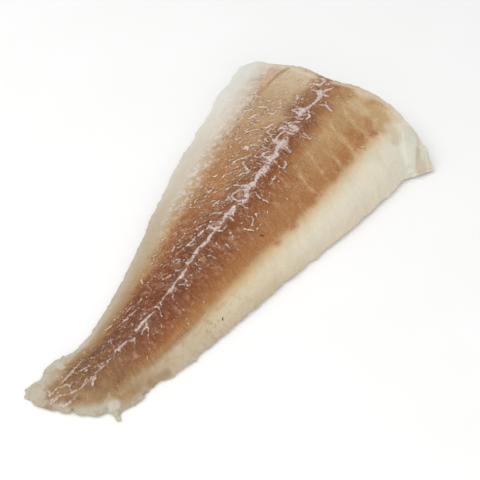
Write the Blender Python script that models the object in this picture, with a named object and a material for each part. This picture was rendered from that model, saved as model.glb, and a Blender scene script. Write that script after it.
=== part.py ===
"""A raw, skinned cod tail fillet, lying flat on its cut side with the skin side up.

Metres, +Z up. The tail is at -X and the wide, cut end at +X. +Y is the back edge of the fish and
-Y its belly edge. The origin is under the middle of the fillet, on the surface that it lies on.
"""

import math

import bmesh
import bpy
from mathutils import Matrix, Vector, noise

MM = 0.001

# Driving dimensions, in millimetres. Outlines are seen from above, as (x, y).
THICKNESS = 21.0
BACK_EDGE = [
    (-114, 29.5), (-109, 31), (-103, 28.8), (-97, 30.3), (-91, 28.5), (-85, 25.5),
    (-62, 26.5), (-30, 33), (5, 42.5), (40, 50), (80, 56.5), (107, 60),
]
BELLY_EDGE = [
    (-102, -8), (-92, -12), (-81, -13.8), (-74, -16.8), (-60, -20.5), (-28, -27),
    (5, -34), (42, -42), (66, -46.5), (80, -48.5), (86, -53), (93, -57.5),
]
# The ends, as (place across, x): -1 is the belly edge and 1 the back edge.
TAIL_END = [(-1, -101.5), (-0.7, -104.5), (-0.4, -108), (0, -111), (0.25, -113), (0.55, -115), (1, -114)]
CUT_END = [
    (-1, 92), (-0.85, 99.5), (-0.6, 106.5), (-0.3, 111),
    (0.1, 109), (0.45, 111.5), (0.75, 109.5), (1, 107.5),
]

# Height of the ridge over the lateral line, as a share of THICKNESS, along x.
RIDGE = [(-115, 0.27), (-100, 0.36), (-70, 0.48), (-30, 0.68), (15, 0.86), (60, 0.97), (90, 1.0), (113, 0.93)]
SHOULDER_SHARE = 0.44       # height of the side margins, against the ridge's
DOME_POWER = 1.9            # how full the back of the fillet is between ridge and margins
SIDE_ROUNDING = 7.5         # how far in from the outline the side curves down
SIDE_ROUNDING_SHARE = 0.4   # and at most this share of the half width, for the narrow tail
END_ROUNDING = 2.6          # the same at the cut end, which stands more upright
TAIL_ROUNDING = 8.0

# Relief of the skin side.
FURROW_DEPTH = 0.7          # groove where the lateral line was
FURROW_WIDTH = 5.5
FURROW_SHARE = 0.06         # its place across the fillet, as a share of the half width
FURROW_START = 0.25         # share of the length, from the tail, over which it deepens
SWELL_HEIGHT = 0.9          # slow waves of soft flesh
SWELL_LENGTH = 34.0
LUMP_HEIGHT = 0.45          # small lumps
LUMP_LENGTH = 9.0
FLAKE_STEP = 0.5            # steps of the flakes on the cut end
FLAKE_LENGTH = 5.0

# Ragged outline: waves of two sizes, as (height, length).
RAGGED_WAVES = [(0.9, 15.0), (0.55, 5.5)]
WAVE_SEEDS = {"tail": 3.1, "cut": 5.7, "back": 11.2, "belly": 17.9}
SEED_STEP = 7.3             # between the sizes of waves
TAIL_SPAN = 30.0            # length over which the waves run, from the middle of the tail end to a corner
CUT_SPAN = 50.0             # the same for the cut end
SWELL_SEED = 2.4
LUMP_SEED = 8.8
FLAKE_SEED = 4.4

ROWS_ALONG = 92
ROWS_ACROSS = 36
ROW_CROWDING = 0.45         # how much closer together the rows lie at the rounded sides
TOP_INSET = 0.9             # how far inside the outline the skin side ends
# The wall below the skin side, downwards: how far inside the outline, and what share of the height is left.
SIDE_WALL = [(0.25, 0.78), (0.0, 0.52), (0.15, 0.28), (0.7, 0.1), (2.2, 0.0)]
CUT_WALL = [(0.3, 0.82), (0.0, 0.6), (0.1, 0.36), (0.4, 0.14), (1.6, 0.0)]
CUT_ZONE = 0.93             # share of the length where the side's wall starts to turn into the cut end's
CORNER_ZONE = 0.94          # share of the half width where the cut end's corners start
CORNER_MIX = 0.5            # how much of the side's wall the corners keep

# A flake torn loose at the belly corner of the cut end lies back on the fillet.
FLAP_MIDDLE = (92.0, -44.0)
FLAP_LENGTH = 19.0
FLAP_WIDTH = 9.0
FLAP_THICKNESS = 1.3
FLAP_TURN = 36.0            # degrees from the fillet's length
FLAP_NARROWING = 0.35       # how much narrower its two tips are
FLAP_RAGGEDNESS = 0.14
FLAP_SEED = 6.1
FLAP_CELLS = (12, 7)

# Torn tags on the outline: x, y and height of the root, length, width at the root, direction in degrees.
TORN_TAGS = [
    (-99.0, -5.5, 1.5, 7.2, 4.0, -143.0),
    (93.0, -44.5, 9.0, 7.0, 4.6, -38.0),
]
TAG_FLATNESS = 0.6
TAG_TAPER = 0.5
TAG_LUMPS = 0.25
TAG_HOOK = 0.12             # how far a tip bends aside, as a share of the length
TAG_DROOP = 0.45            # how far a tip hangs, as a share of the root's height
TAG_CLEARANCE = 0.25        # the tags hang just over the table

PROBE_HEIGHT = 0.1          # metres, from where the skin side's height is read

FLESH_COLOUR = (0.66, 0.52, 0.38, 1.0)
FLESH_ROUGHNESS = 0.38


def curve_at(points, t):
    """The smooth curve through points, read at t, with flat ends outside them."""
    if t <= points[0][0]:
        return points[0][1]
    if t >= points[-1][0]:
        return points[-1][1]
    i = max(k for k in range(len(points) - 1) if points[k][0] <= t)
    (t0, a), (t1, b) = points[i], points[i + 1]

    def slope(k):
        low, high = max(k - 1, 0), min(k + 1, len(points) - 1)
        return (points[high][1] - points[low][1]) / (points[high][0] - points[low][0])

    span = t1 - t0
    s = (t - t0) / span
    return (
        a * (1 + 2 * s) * (1 - s) ** 2
        + b * s * s * (3 - 2 * s)
        + span * (slope(i) * s * (1 - s) ** 2 - slope(i + 1) * s * s * (1 - s))
    )


def smooth_step(low, high, t):
    s = min(max((t - low) / (high - low), 0.0), 1.0)
    return s * s * (3 - 2 * s)


def waves(x, y, seed, sizes):
    """Soft noise; sizes holds the height and length of each set of waves, in millimetres."""
    return sum(
        height * noise.noise(Vector((x / length, y / length, seed + SEED_STEP * k)))
        for k, (height, length) in enumerate(sizes)
    )


def edge_y(edge, side, u, seed):
    """The ragged y of a long edge at u; side is its v."""
    tail, cut = curve_at(TAIL_END, side), curve_at(CUT_END, side)
    x = tail + (cut - tail) * u
    return curve_at(edge, x) + waves(x, 0, seed, RAGGED_WAVES)


def plan(u, v):
    """Place seen from above: u runs from the tail, 0, to the cut end, 1, and v from belly, -1, to back, 1."""
    tail = curve_at(TAIL_END, v) + waves(0, TAIL_SPAN * v, WAVE_SEEDS["tail"], RAGGED_WAVES)
    cut = curve_at(CUT_END, v) + waves(0, CUT_SPAN * v, WAVE_SEEDS["cut"], RAGGED_WAVES)
    back_y = edge_y(BACK_EDGE, 1, u, WAVE_SEEDS["back"])
    belly_y = edge_y(BELLY_EDGE, -1, u, WAVE_SEEDS["belly"])
    return tail + (cut - tail) * u, belly_y + (back_y - belly_y) * (v + 1) / 2


def half_width(u):
    return (plan(u, 1)[1] - plan(u, -1)[1]) / 2


def length_at(v):
    return plan(1, v)[0] - plan(0, v)[0]


def inset(u, v, distance):
    """The u and v of a point moved inwards by distance, if it lies that near to the outline."""
    across = distance / half_width(u)
    along = distance / length_at(v)
    return min(max(u, along), 1 - along), min(max(v, across - 1), 1 - across)


def quarter_round(distance, radius):
    share = min(max(distance / radius, 0.0), 1.0)
    return math.sqrt(1 - (1 - share) ** 2)


def skin_height(u, v):
    """Height of the skin side over the table."""
    x, y = plan(u, v)
    ridge = THICKNESS * curve_at(RIDGE, x)
    dome = 1 - abs(v) ** DOME_POWER
    height = ridge * (SHOULDER_SHARE + (1 - SHOULDER_SHARE) * dome)
    side = (1 - abs(v)) * half_width(u)
    furrow = math.exp(-(((v - FURROW_SHARE) * half_width(u)) / FURROW_WIDTH) ** 2)
    height -= FURROW_DEPTH * furrow * smooth_step(0, FURROW_START, u)
    height += waves(x, y, SWELL_SEED, [(SWELL_HEIGHT, SWELL_LENGTH)])
    height += waves(x, y, LUMP_SEED, [(LUMP_HEIGHT, LUMP_LENGTH)])
    height *= quarter_round(side, min(SIDE_ROUNDING, SIDE_ROUNDING_SHARE * half_width(u)))
    height *= quarter_round(u * length_at(v), TAIL_ROUNDING)
    return height * quarter_round((1 - u) * length_at(v), END_ROUNDING)


def outline_shares():
    """The u and v of the outline's points, once round from the tail's belly corner."""
    across = [across_share(j) for j in range(ROWS_ACROSS + 1)]
    along = [i / ROWS_ALONG for i in range(ROWS_ALONG + 1)]
    loop = [(u, -1.0) for u in along[:-1]]
    loop += [(1.0, v) for v in across[:-1]]
    loop += [(u, 1.0) for u in reversed(along[1:])]
    loop += [(0.0, v) for v in reversed(across[1:])]
    return loop


def across_share(j):
    """The v of row j."""
    s = 2 * j / ROWS_ACROSS - 1
    return (1 - ROW_CROWDING) * s + ROW_CROWDING * math.sin(s * math.pi / 2)


def wall_point(u, v, step):
    """A point of the wall: step 0 is just under the skin side, and the last is on the table."""
    at_cut = smooth_step(CUT_ZONE, 1.0, u) * (1 - CORNER_MIX * smooth_step(CORNER_ZONE, 1.0, abs(v)))
    distance = SIDE_WALL[step][0] + (CUT_WALL[step][0] - SIDE_WALL[step][0]) * at_cut
    share = SIDE_WALL[step][1] + (CUT_WALL[step][1] - SIDE_WALL[step][1]) * at_cut
    height = skin_height(*inset(u, v, TOP_INSET)) * share
    x, y = plan(*inset(u, v, distance))
    if 0 < step < len(SIDE_WALL) - 1:
        x += at_cut * waves(y, height, FLAKE_SEED, [(FLAKE_STEP, FLAKE_LENGTH)])
    return Vector((x, y, height)) * MM


def body_mesh():
    """The fillet's body: a grid for the skin side, a wall of rings, and a flat underside."""
    mesh = bmesh.new()
    grid = []
    for i in range(ROWS_ALONG + 1):
        row = []
        for j in range(ROWS_ACROSS + 1):
            u, v = inset(i / ROWS_ALONG, across_share(j), TOP_INSET)
            x, y = plan(u, v)
            row.append(mesh.verts.new(Vector((x, y, skin_height(u, v))) * MM))
        grid.append(row)
    for i in range(ROWS_ALONG):
        for j in range(ROWS_ACROSS):
            mesh.faces.new((grid[i][j], grid[i + 1][j], grid[i + 1][j + 1], grid[i][j + 1]))
    ring = [grid[i][0] for i in range(ROWS_ALONG)]
    ring += [grid[ROWS_ALONG][j] for j in range(ROWS_ACROSS)]
    ring += [grid[i][ROWS_ACROSS] for i in range(ROWS_ALONG, 0, -1)]
    ring += [grid[0][j] for j in range(ROWS_ACROSS, 0, -1)]
    shares = outline_shares()
    for step in range(len(SIDE_WALL)):
        lower = [mesh.verts.new(wall_point(u, v, step)) for u, v in shares]
        for k in range(len(ring)):
            following = (k + 1) % len(ring)
            mesh.faces.new((ring[following], ring[k], lower[k], lower[following]))
        ring = lower
    mesh.faces.new(list(reversed(ring)))
    bmesh.ops.recalc_face_normals(mesh, faces=mesh.faces)
    return mesh


def height_under(body, x, y):
    """Height of the body's skin side at x and y, in millimetres."""
    hit, place, _, _ = body.ray_cast(Vector((x * MM, y * MM, PROBE_HEIGHT)), Vector((0, 0, -1)))
    return place.z / MM if hit else 0.0


def flap_mesh(body):
    """The torn flake: a slab that follows the skin side, sunk into it, with its back edge standing proud."""
    mesh = bmesh.new()
    turn = Matrix.Rotation(math.radians(FLAP_TURN), 2)
    along, across = FLAP_CELLS
    layers = []
    for lift in (FLAP_THICKNESS, -FLAP_THICKNESS):
        layer = []
        for i in range(along + 1):
            row = []
            for j in range(across + 1):
                s, t = 2 * i / along - 1, 2 * j / across - 1
                ragged = 1 + FLAP_RAGGEDNESS * noise.noise(Vector((3 * s, 3 * t, FLAP_SEED)))
                narrow = 1 - FLAP_NARROWING * s * s
                offset = turn @ Vector((s * FLAP_LENGTH, t * narrow * FLAP_WIDTH)) * ragged / 2
                x, y = FLAP_MIDDLE[0] + offset.x, FLAP_MIDDLE[1] + offset.y
                proud = smooth_step(-1.0, 0.6, t) * (1 - 0.5 * smooth_step(0.5, 1.0, abs(s)))
                height = height_under(body, x, y) + (lift * proud if lift > 0 else lift)
                row.append(mesh.verts.new(Vector((x, y, height)) * MM))
            layer.append(row)
        layers.append(layer)
    top, bottom = layers
    for i in range(along):
        for j in range(across):
            mesh.faces.new((top[i][j], top[i + 1][j], top[i + 1][j + 1], top[i][j + 1]))
            mesh.faces.new((bottom[i][j + 1], bottom[i + 1][j + 1], bottom[i + 1][j], bottom[i][j]))
    border = [(i, 0) for i in range(along)] + [(along, j) for j in range(across)]
    border += [(i, across) for i in range(along, 0, -1)] + [(0, j) for j in range(across, 0, -1)]
    for (i, j), (m, n) in zip(border, border[1:] + border[:1]):
        mesh.faces.new((top[m][n], top[i][j], bottom[i][j], bottom[m][n]))
    bmesh.ops.recalc_face_normals(mesh, faces=mesh.faces)
    return mesh


def tag_mesh(x, y, z, length, width, direction):
    """One torn tag: a lumpy drop with its thick root in the flesh and a hanging tip."""
    mesh = bmesh.new()
    bmesh.ops.create_icosphere(mesh, subdivisions=2, radius=1.0)
    turn = Matrix.Rotation(math.radians(direction), 3, "Z")
    for vertex in mesh.verts:
        share = (vertex.co.x + 1) / 2
        taper = (1 - TAG_TAPER * share) * (1 + TAG_LUMPS * noise.noise(vertex.co * 2 + Vector((x, y, 0))))
        side = vertex.co.y * taper * width / 2 + TAG_HOOK * length * share * share
        lift = z * (1 - TAG_DROOP * share) + vertex.co.z * taper * TAG_FLATNESS * width / 2
        place = turn @ Vector((share * length, side, 0)) + Vector((x, y, lift))
        vertex.co = Vector((place.x, place.y, max(place.z, TAG_CLEARANCE))) * MM
    return mesh


def add_object(name, mesh, collection):
    data = bpy.data.meshes.new(name)
    mesh.to_mesh(data)
    mesh.free()
    made = bpy.data.objects.new(name, data)
    collection.objects.link(made)
    return made


def fuse(body, additions):
    """Joins what is in the collection to the body with one Boolean union, and removes it."""
    union = body.modifiers.new("fuse", "BOOLEAN")
    union.operation = "UNION"
    union.operand_type = "COLLECTION"
    union.collection = additions
    union.solver = "EXACT"
    graph = bpy.context.evaluated_depsgraph_get()
    fused = bpy.data.meshes.new_from_object(body.evaluated_get(graph))
    body.modifiers.clear()
    body.data = fused
    for addition in list(additions.objects):
        bpy.data.objects.remove(addition)
    bpy.data.collections.remove(additions)


def centre_on_origin(body):
    """Moves the mesh so that the origin is under its middle, on the table."""
    corners = [Vector(corner) for corner in body.bound_box]
    low = Vector([min(c[axis] for c in corners) for axis in range(3)])
    high = Vector([max(c[axis] for c in corners) for axis in range(3)])
    middle = (low + high) / 2
    body.data.transform(Matrix.Translation((-middle.x, -middle.y, -low.z)))


def flesh_material():
    material = bpy.data.materials.new("cod_flesh")
    material.use_nodes = True
    shader = material.node_tree.nodes["Principled BSDF"]
    shader.inputs["Base Color"].default_value = FLESH_COLOUR
    shader.inputs["Roughness"].default_value = FLESH_ROUGHNESS
    shader.inputs["Metallic"].default_value = 0.0
    return material


def main():
    for existing in list(bpy.data.objects):
        bpy.data.objects.remove(existing)
    scene = bpy.context.scene
    body = add_object("fillet", body_mesh(), scene.collection)
    additions = bpy.data.collections.new("additions")
    scene.collection.children.link(additions)
    bpy.context.view_layer.update()
    add_object("flap", flap_mesh(body), additions)
    for number, tag in enumerate(TORN_TAGS):
        add_object(f"tag_{number}", tag_mesh(*tag), additions)
    bpy.context.view_layer.update()
    fuse(body, additions)
    bpy.context.view_layer.update()
    centre_on_origin(body)
    body.data.shade_smooth()
    body.data.materials.append(flesh_material())


main()
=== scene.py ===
import math
import random

import bpy
import numpy as np
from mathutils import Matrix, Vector, noise
from mathutils.bvhtree import BVHTree


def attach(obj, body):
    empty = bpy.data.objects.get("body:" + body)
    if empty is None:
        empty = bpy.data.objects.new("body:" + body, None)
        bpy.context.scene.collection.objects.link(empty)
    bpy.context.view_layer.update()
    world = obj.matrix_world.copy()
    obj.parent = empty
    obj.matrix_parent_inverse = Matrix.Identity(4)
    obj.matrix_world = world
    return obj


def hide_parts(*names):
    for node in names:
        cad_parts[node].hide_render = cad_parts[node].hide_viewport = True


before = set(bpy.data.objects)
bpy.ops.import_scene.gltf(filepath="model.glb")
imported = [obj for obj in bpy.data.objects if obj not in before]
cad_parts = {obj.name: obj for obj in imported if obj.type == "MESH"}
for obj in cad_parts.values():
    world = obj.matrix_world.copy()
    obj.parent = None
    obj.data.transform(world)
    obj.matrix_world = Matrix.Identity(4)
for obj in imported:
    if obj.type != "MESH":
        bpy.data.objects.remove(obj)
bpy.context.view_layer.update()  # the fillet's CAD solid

# A raw, skinned cod tail fillet, skin side up: its tail at -X, its cut end at +X and the fish's back at +Y.
# Lengths are in millimetres, and mm turns them into metres. Places read off the photograph are its pixels.

mm = 0.001

photoView = {
    "pixels": 480,
    "azimuth": -59.1,
    "elevation": 46.8,
    "distance": 603.0,
    "lens": 100.0,
    "sensor": 36.0,
    "target": (8.7, -2.4, 0.0),
}


# Small tools

def choose(piece):
    if bpy.context.mode != "OBJECT":
        bpy.ops.object.mode_set(mode="OBJECT")
    bpy.ops.object.select_all(action="DESELECT")
    if piece:
        piece.select_set(True)
        bpy.context.view_layer.objects.active = piece


def addObject(name, data):
    made = bpy.data.objects.new(name, data)
    bpy.context.scene.collection.objects.link(made)
    return made


def aim(piece, direction):
    # turns a camera or a light
    piece.rotation_mode = "QUATERNION"
    piece.rotation_quaternion = direction.to_track_quat("-Z", "Y")


def applyModifier(piece, kind, **values):
    choose(piece)
    modifier = piece.modifiers.new(kind.lower(), kind)
    for name, value in values.items():
        setattr(modifier, name, value)
    bpy.ops.object.modifier_apply(modifier=modifier.name)


def thicken(piece, thickness):
    # gives a sheet its thickness, downwards
    applyModifier(piece, "SOLIDIFY", thickness=thickness * mm, offset=-1)


def readPoints(piece):
    points = np.empty(len(piece.data.vertices) * 3, np.float32)
    piece.data.vertices.foreach_get("co", points)
    return points.reshape(-1, 3).astype(float)


def readNormals(piece):
    normals = np.empty(len(piece.data.vertices) * 3, np.float32)
    piece.data.vertex_normals.foreach_get("vector", normals)
    return normals.reshape(-1, 3).astype(float)


def writePoints(piece, points):
    piece.data.vertices.foreach_set("co", points.astype(np.float32).ravel())
    piece.data.update()


def setLayer(piece, name, values):
    layer = piece.data.attributes.new(name, "FLOAT", "POINT")
    layer.data.foreach_set("value", np.asarray(values, np.float32))


def smoothStep(low, high, values):
    share = np.clip((np.asarray(values, float) - low) / (high - low), 0, 1)
    return share * share * (3 - 2 * share)


def noiseAt(points, size, seed):
    # soft noise from about -1 to 1, with lumps of that size in millimetres, one size or one for each axis
    scaled = points / (np.asarray(size, float) * mm) + seed
    return np.array([noise.noise(Vector(p)) for p in scaled])


def layeredNoise(points, layers, seed):
    # noise in several layers, each with its height and size
    return sum(height * noiseAt(points, size, seed + step) for step, (height, size) in enumerate(layers))


def awayFromPlace(points, place):
    # distance in millimetres, seen from above
    return np.hypot(points[:, 0] / mm - place[0], points[:, 1] / mm - place[1])


# Camera of the photograph, and what lies under one of its pixels

def makeCamera():
    azimuth, elevation = math.radians(photoView["azimuth"]), math.radians(photoView["elevation"])
    back = Vector((
        math.sin(azimuth) * math.cos(elevation),
        -math.cos(azimuth) * math.cos(elevation),
        math.sin(elevation),
    ))
    data = bpy.data.cameras.new("photoCamera")
    data.lens, data.sensor_width = photoView["lens"], photoView["sensor"]
    camera = addObject("photoCamera", data)
    camera.location = Vector(photoView["target"]) * mm + back * photoView["distance"] * mm
    aim(camera, -back)
    bpy.context.scene.camera = camera
    bpy.context.view_layer.update()
    return camera


def pixelRay(x, y):
    middle = photoView["pixels"] / 2
    focal = photoView["lens"] / photoView["sensor"] * photoView["pixels"]
    direction = Vector(((x - middle) / focal, (middle - y) / focal, -1)).normalized()
    return camera.location.copy(), camera.matrix_world.to_quaternion() @ direction


def underPixel(tree, x, y):
    # place seen from above, in millimetres, of what the camera sees at a pixel
    start, direction = pixelRay(x, y)
    place = tree.ray_cast(start, direction)[0]
    if place is None:
        place = start - direction * (start.z / direction.z)
    return np.array((place.x, place.y)) / mm


def pixelSize():
    # millimetres that a pixel spans at the middle of the fillet
    return photoView["distance"] / (photoView["lens"] / photoView["sensor"] * photoView["pixels"])


def resample(path, step):
    # the same path as a smooth curve with a point about every step; further columns come along
    path = np.asarray(path, float)
    if len(path) < 3:
        count = max(int(np.linalg.norm(path[-1, :2] - path[0, :2]) / step), 1) + 1
        return np.linspace(path[0], path[-1], count)
    full = np.vstack((2 * path[0] - path[1], path, 2 * path[-1] - path[-2]))
    made = []
    for p0, p1, p2, p3 in zip(full, full[1:], full[2:], full[3:]):
        count = max(int(np.linalg.norm((p2 - p1)[:2]) / step), 1)
        for t in np.arange(count) / count:
            made.append(0.5 * (
                2 * p1 + (p2 - p0) * t + (2 * p0 - 5 * p1 + 4 * p2 - p3) * t * t
                + (3 * p1 - p0 - 3 * p2 + p3) * t ** 3
            ))
    return np.vstack((made, path[-1]))


# Flesh: the body of the fillet

fleshShape = {
    "voxel": 0.56,
    "smoothing": 4,
    "mergeWithin": 0.01,
    "undersideTop": 0.4,        # faces that look down and lie lower than this are its underside
    "undersideShare": 0.16,     # of them that stay
    # how squarely a face looks up, down or along the fish to count as that side
    "facing": {"skin": (0.25, 0.75), "under": (0.3, 0.8), "cut": (0.35, 0.8)},
    "lumps": [(0.28, 7.0), (0.12, 2.8), (0.06, 1.5)],      # height and size
    "fibres": [(0.08, (7.0, 1.1, 3.0)), (0.05, (3.0, 0.7, 2.0))],
    "roughBand": [(0.16, 1.3)],
    "bandBelly": (-0.78, -0.6),     # where the brown band fades out, as shares of the way to the belly edge
    "bandBack": (0.72, 0.52),       # and to the back edge
    "segmentSlant": 0.52,       # how far the lines of the muscle trail to the tail, for each step outwards
    "segmentLines": [           # where they leave the streak, along the fish
        109.5, 98.9, 86.0, 74.4, 63.5, 52.0, 40.5, 29.5, 18.5, 7.5, -3.0, -13.5, -23.5, -33.5, -42.5, -51.0,
        -59.0, -66.5, -73.5, -80.0, -86.0, -92.0, -97.5, -103.0, -108.0, -113.0,
    ],
    "segmentGroove": 0.14,
    "segmentWidth": 0.22,       # as a share of the way to the next line
    "segmentReach": ((0.08, 0.25), (0.98, 0.8)),    # where they fade, by the streak and by the edges
    "ragged": [(0.55, 4.5), (0.45, 1.9)],
    "cutEnd": (80, 90),         # where along the fish the cut end's own forms come in
    "cutLayer": 3.1,            # of the flakes on the cut end
    "cutStep": 0.55,
    "ringMiddles": (21, -23),   # beside the streak
    "ringHeight": 3,
    "ringSquash": 0.62,
    "underStep": 0.5,
    "foldLine": [(288, 68), (280, 73), (272, 80), (265, 87), (258, 94)],    # crease by the back margin
    "foldWidth": (0.2, 1.6),
    "foldDepth": 0.45,
    "cornerLine": [(417, 128), (414, 174)],     # pixels; past it the belly corner of the cut end lies lower
    "cornerDrop": 1.7,
    "cornerFade": 0.9,
    "nibs": [                   # on the outline: pixel, radius and pull outwards, or inwards below 0
        (64, 360, 1.7, 1.4), (47, 370, 1.5, 1.1), (34, 386, 1.6, -1.1), (72, 412, 1.1, -1.2),
        (147, 395, 1.2, -0.6), (154, 388, 1.2, 0.8), (175, 377, 1.1, 0.9), (195, 361, 1.1, 0.9),
        (134, 403, 1.3, 0.6), (425, 147, 1.6, 1.3), (427, 155, 1.3, -0.8), (222, 341, 1.1, 0.6),
        (247, 318, 1.1, 0.5), (257, 65, 6.0, 2.3), (243, 67, 3.0, 1.2), (284, 66, 2.5, 0.5),
        (305, 72, 2.0, -0.6), (63, 357, 1.2, 0.8), (75, 350, 3.0, -0.9), (83, 341, 1.2, 0.7),
        (29, 389, 1.5, 0.5), (93, 327, 1.6, -0.5), (26, 391.5, 2.4, 0.9), (25, 398, 2.2, 0.8),
        (29.5, 402.5, 1.3, -0.5), (53, 410, 4.0, 0.7), (64, 412, 4.0, 0.8), (83, 415, 4.5, 0.6),
        (97, 415, 5.0, 1.2),
    ],
    "drop": (118.5, 418.0, 1.2),    # blob at the end of a shred by the tail: pixel and radius
    "dropHeight": 0.8,              # of its middle, in radii
    "dropReach": (1.4, 2.1),        # where what it draws onto itself fades, in radii
}


def makeFleshBody():
    # the CAD solid, remeshed finely on the skin side and coarsely below
    flesh = addObject("codFlesh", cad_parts["fillet"].data.copy())
    flesh.data.materials.clear()
    choose(flesh)
    bpy.ops.object.mode_set(mode="EDIT")
    bpy.ops.mesh.select_all(action="SELECT")
    bpy.ops.mesh.remove_doubles(threshold=fleshShape["mergeWithin"] * mm)
    bpy.ops.object.mode_set(mode="OBJECT")
    applyModifier(flesh, "REMESH", mode="VOXEL", voxel_size=fleshShape["voxel"] * mm)
    applyModifier(flesh, "SMOOTH", factor=0.5, iterations=fleshShape["smoothing"])
    choose(flesh)
    for polygon in flesh.data.polygons:
        polygon.select = polygon.normal.z < -0.95 and polygon.center.z < fleshShape["undersideTop"] * mm
    for vertex in flesh.data.vertices:
        vertex.select = False
    bpy.ops.object.mode_set(mode="EDIT")
    bpy.ops.mesh.select_mode(type="FACE")
    bpy.ops.mesh.decimate(ratio=fleshShape["undersideShare"])
    bpy.ops.mesh.select_all(action="SELECT")
    bpy.ops.mesh.normals_make_consistent(inside=False)
    bpy.ops.object.mode_set(mode="OBJECT")
    return flesh


print("camera and flesh")
camera = makeCamera()
flesh = makeFleshBody()
smoothTree = BVHTree.FromObject(flesh, bpy.context.evaluated_depsgraph_get())

# The silver streak over the backbone, from the cut end to the tail, as pixels.
streakLine = [
    (331, 80), (320, 93), (305, 109), (296, 127), (281, 144), (272, 157), (261, 172), (252, 185),
    (246, 197), (231, 212), (216, 229), (206, 243), (192, 259), (181, 276), (171, 290), (160, 303),
    (148, 318), (135, 332), (120, 348), (103, 365), (91, 381), (73, 392), (52, 400),
]


def makeSpine():
    # y of the streak along x, as the mean of five steps, in millimetres
    places = np.array([underPixel(smoothTree, x, y) for x, y in streakLine])
    places = places[np.argsort(places[:, 0])]
    steps = np.arange(-120.0, 121.0, 4.0)
    level = np.interp(steps, places[:, 0], places[:, 1])
    return steps, np.convolve(np.pad(level, 2, mode="edge"), np.ones(5) / 5, mode="valid")


def makeEdges():
    # y of the back and belly edges along x, carried on straight past the corners of the cut end
    points = readPoints(flesh) / mm
    steps = np.arange(-110.0, 81.0, 5.0)
    halfStep = 2.5
    slices = [points[abs(points[:, 0] - x) < halfStep, 1] for x in steps]
    beyond = np.array([100.0, 120.0])
    edges = {}
    for name, outermost in (("back", np.max), ("belly", np.min)):
        values = np.array([outermost(part) for part in slices])
        slope = (values[-1] - values[-9]) / (steps[-1] - steps[-9])
        edges[name] = (np.append(steps, beyond), np.append(values, values[-1] + slope * (beyond - steps[-1])))
    return edges


spine = makeSpine()
edges = makeEdges()


def acrossShare(points):
    # -1 at the belly edge, 0 on the streak and 1 at the back edge; and the distance from the streak
    x, y, _ = (points / mm).T
    middle = np.interp(x, *spine)
    off = y - middle
    narrowest = 4
    back = np.maximum(np.interp(x, *edges["back"]) - middle, narrowest)
    belly = np.maximum(middle - np.interp(x, *edges["belly"]), narrowest)
    return np.where(off > 0, off / back, off / belly), off


def segmentPhase(points, off):
    # a whole number on each line of the muscle
    lines = fleshShape["segmentLines"][::-1]
    return np.interp(points[:, 0] / mm + fleshShape["segmentSlant"] * abs(off), lines, np.arange(len(lines)))


def peak(phase, width):
    # 1 on whole numbers, falling to 0 at width
    return 1 - smoothStep(0, width, abs(phase - np.round(phase)))


def cutRings(points):
    # rings of the muscle round its two middles on the cut end, in layers
    x, y, z = (points / mm).T
    off, up = y - np.interp(x, *spine), z - fleshShape["ringHeight"]
    squash = fleshShape["ringSquash"]
    upper, lower = (np.hypot((off - middle) * squash, up) for middle in fleshShape["ringMiddles"])
    return np.minimum(upper, lower) / fleshShape["cutLayer"]


def awayFrom(points, places):
    # distance in millimetres, seen from above, from a line through pixels
    path = resample([underPixel(smoothTree, x, y) for x, y in places], 0.8)
    nearest = np.full(len(points), 1e9)
    for place in path:
        nearest = np.minimum(nearest, awayFromPlace(points, place))
    return nearest


def roughPhase(points, off):
    # the lines of the muscle again, with a waver
    return segmentPhase(points, off) + 0.10 * noiseAt(points, 7.0, 31.0) + 0.05 * noiseAt(points, 2.5, 33.0)


def lowerCorner(points, skin):
    # what the corner past its line sinks by, in millimetres
    a, b = (underPixel(smoothTree, x, y) for x, y in fleshShape["cornerLine"])
    run = (b - a) / np.linalg.norm(b - a)
    x, y, _ = (points / mm).T
    past = (y - a[1]) * run[0] - (x - a[0]) * run[1]
    fade = smoothStep(0, fleshShape["cornerFade"], past)
    return fleshShape["cornerDrop"] * fade * smoothStep(*fleshShape["cutEnd"], x) * skin


def pullNibs(points, normals):
    # small nibs and nicks of the outline
    moved = points.copy()
    for x, y, radius, pull in fleshShape["nibs"]:
        place = underPixel(smoothTree, x, y)
        close = 1 - smoothStep(0, radius, awayFromPlace(points, place))
        outward = (normals[:, :2] * close[:, None]).sum(0)
        outward /= max(np.linalg.norm(outward), 1e-9)
        moved[:, :2] += outward * (close * pull * mm)[:, None]
    return moved


def roundDrop(points):
    # draws what is near the end of the shred onto a small ball
    x, y, radius = fleshShape["drop"]
    middle = np.append(underPixel(smoothTree, x, y), fleshShape["dropHeight"] * radius) * mm
    away = points - middle
    reach = np.linalg.norm(away, axis=1)[:, None]
    near, far = fleshShape["dropReach"]
    close = 1 - smoothStep(near * radius, far * radius, reach / mm)
    return points + close * (away / np.maximum(reach, 1e-9) * radius * mm - away)


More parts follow.
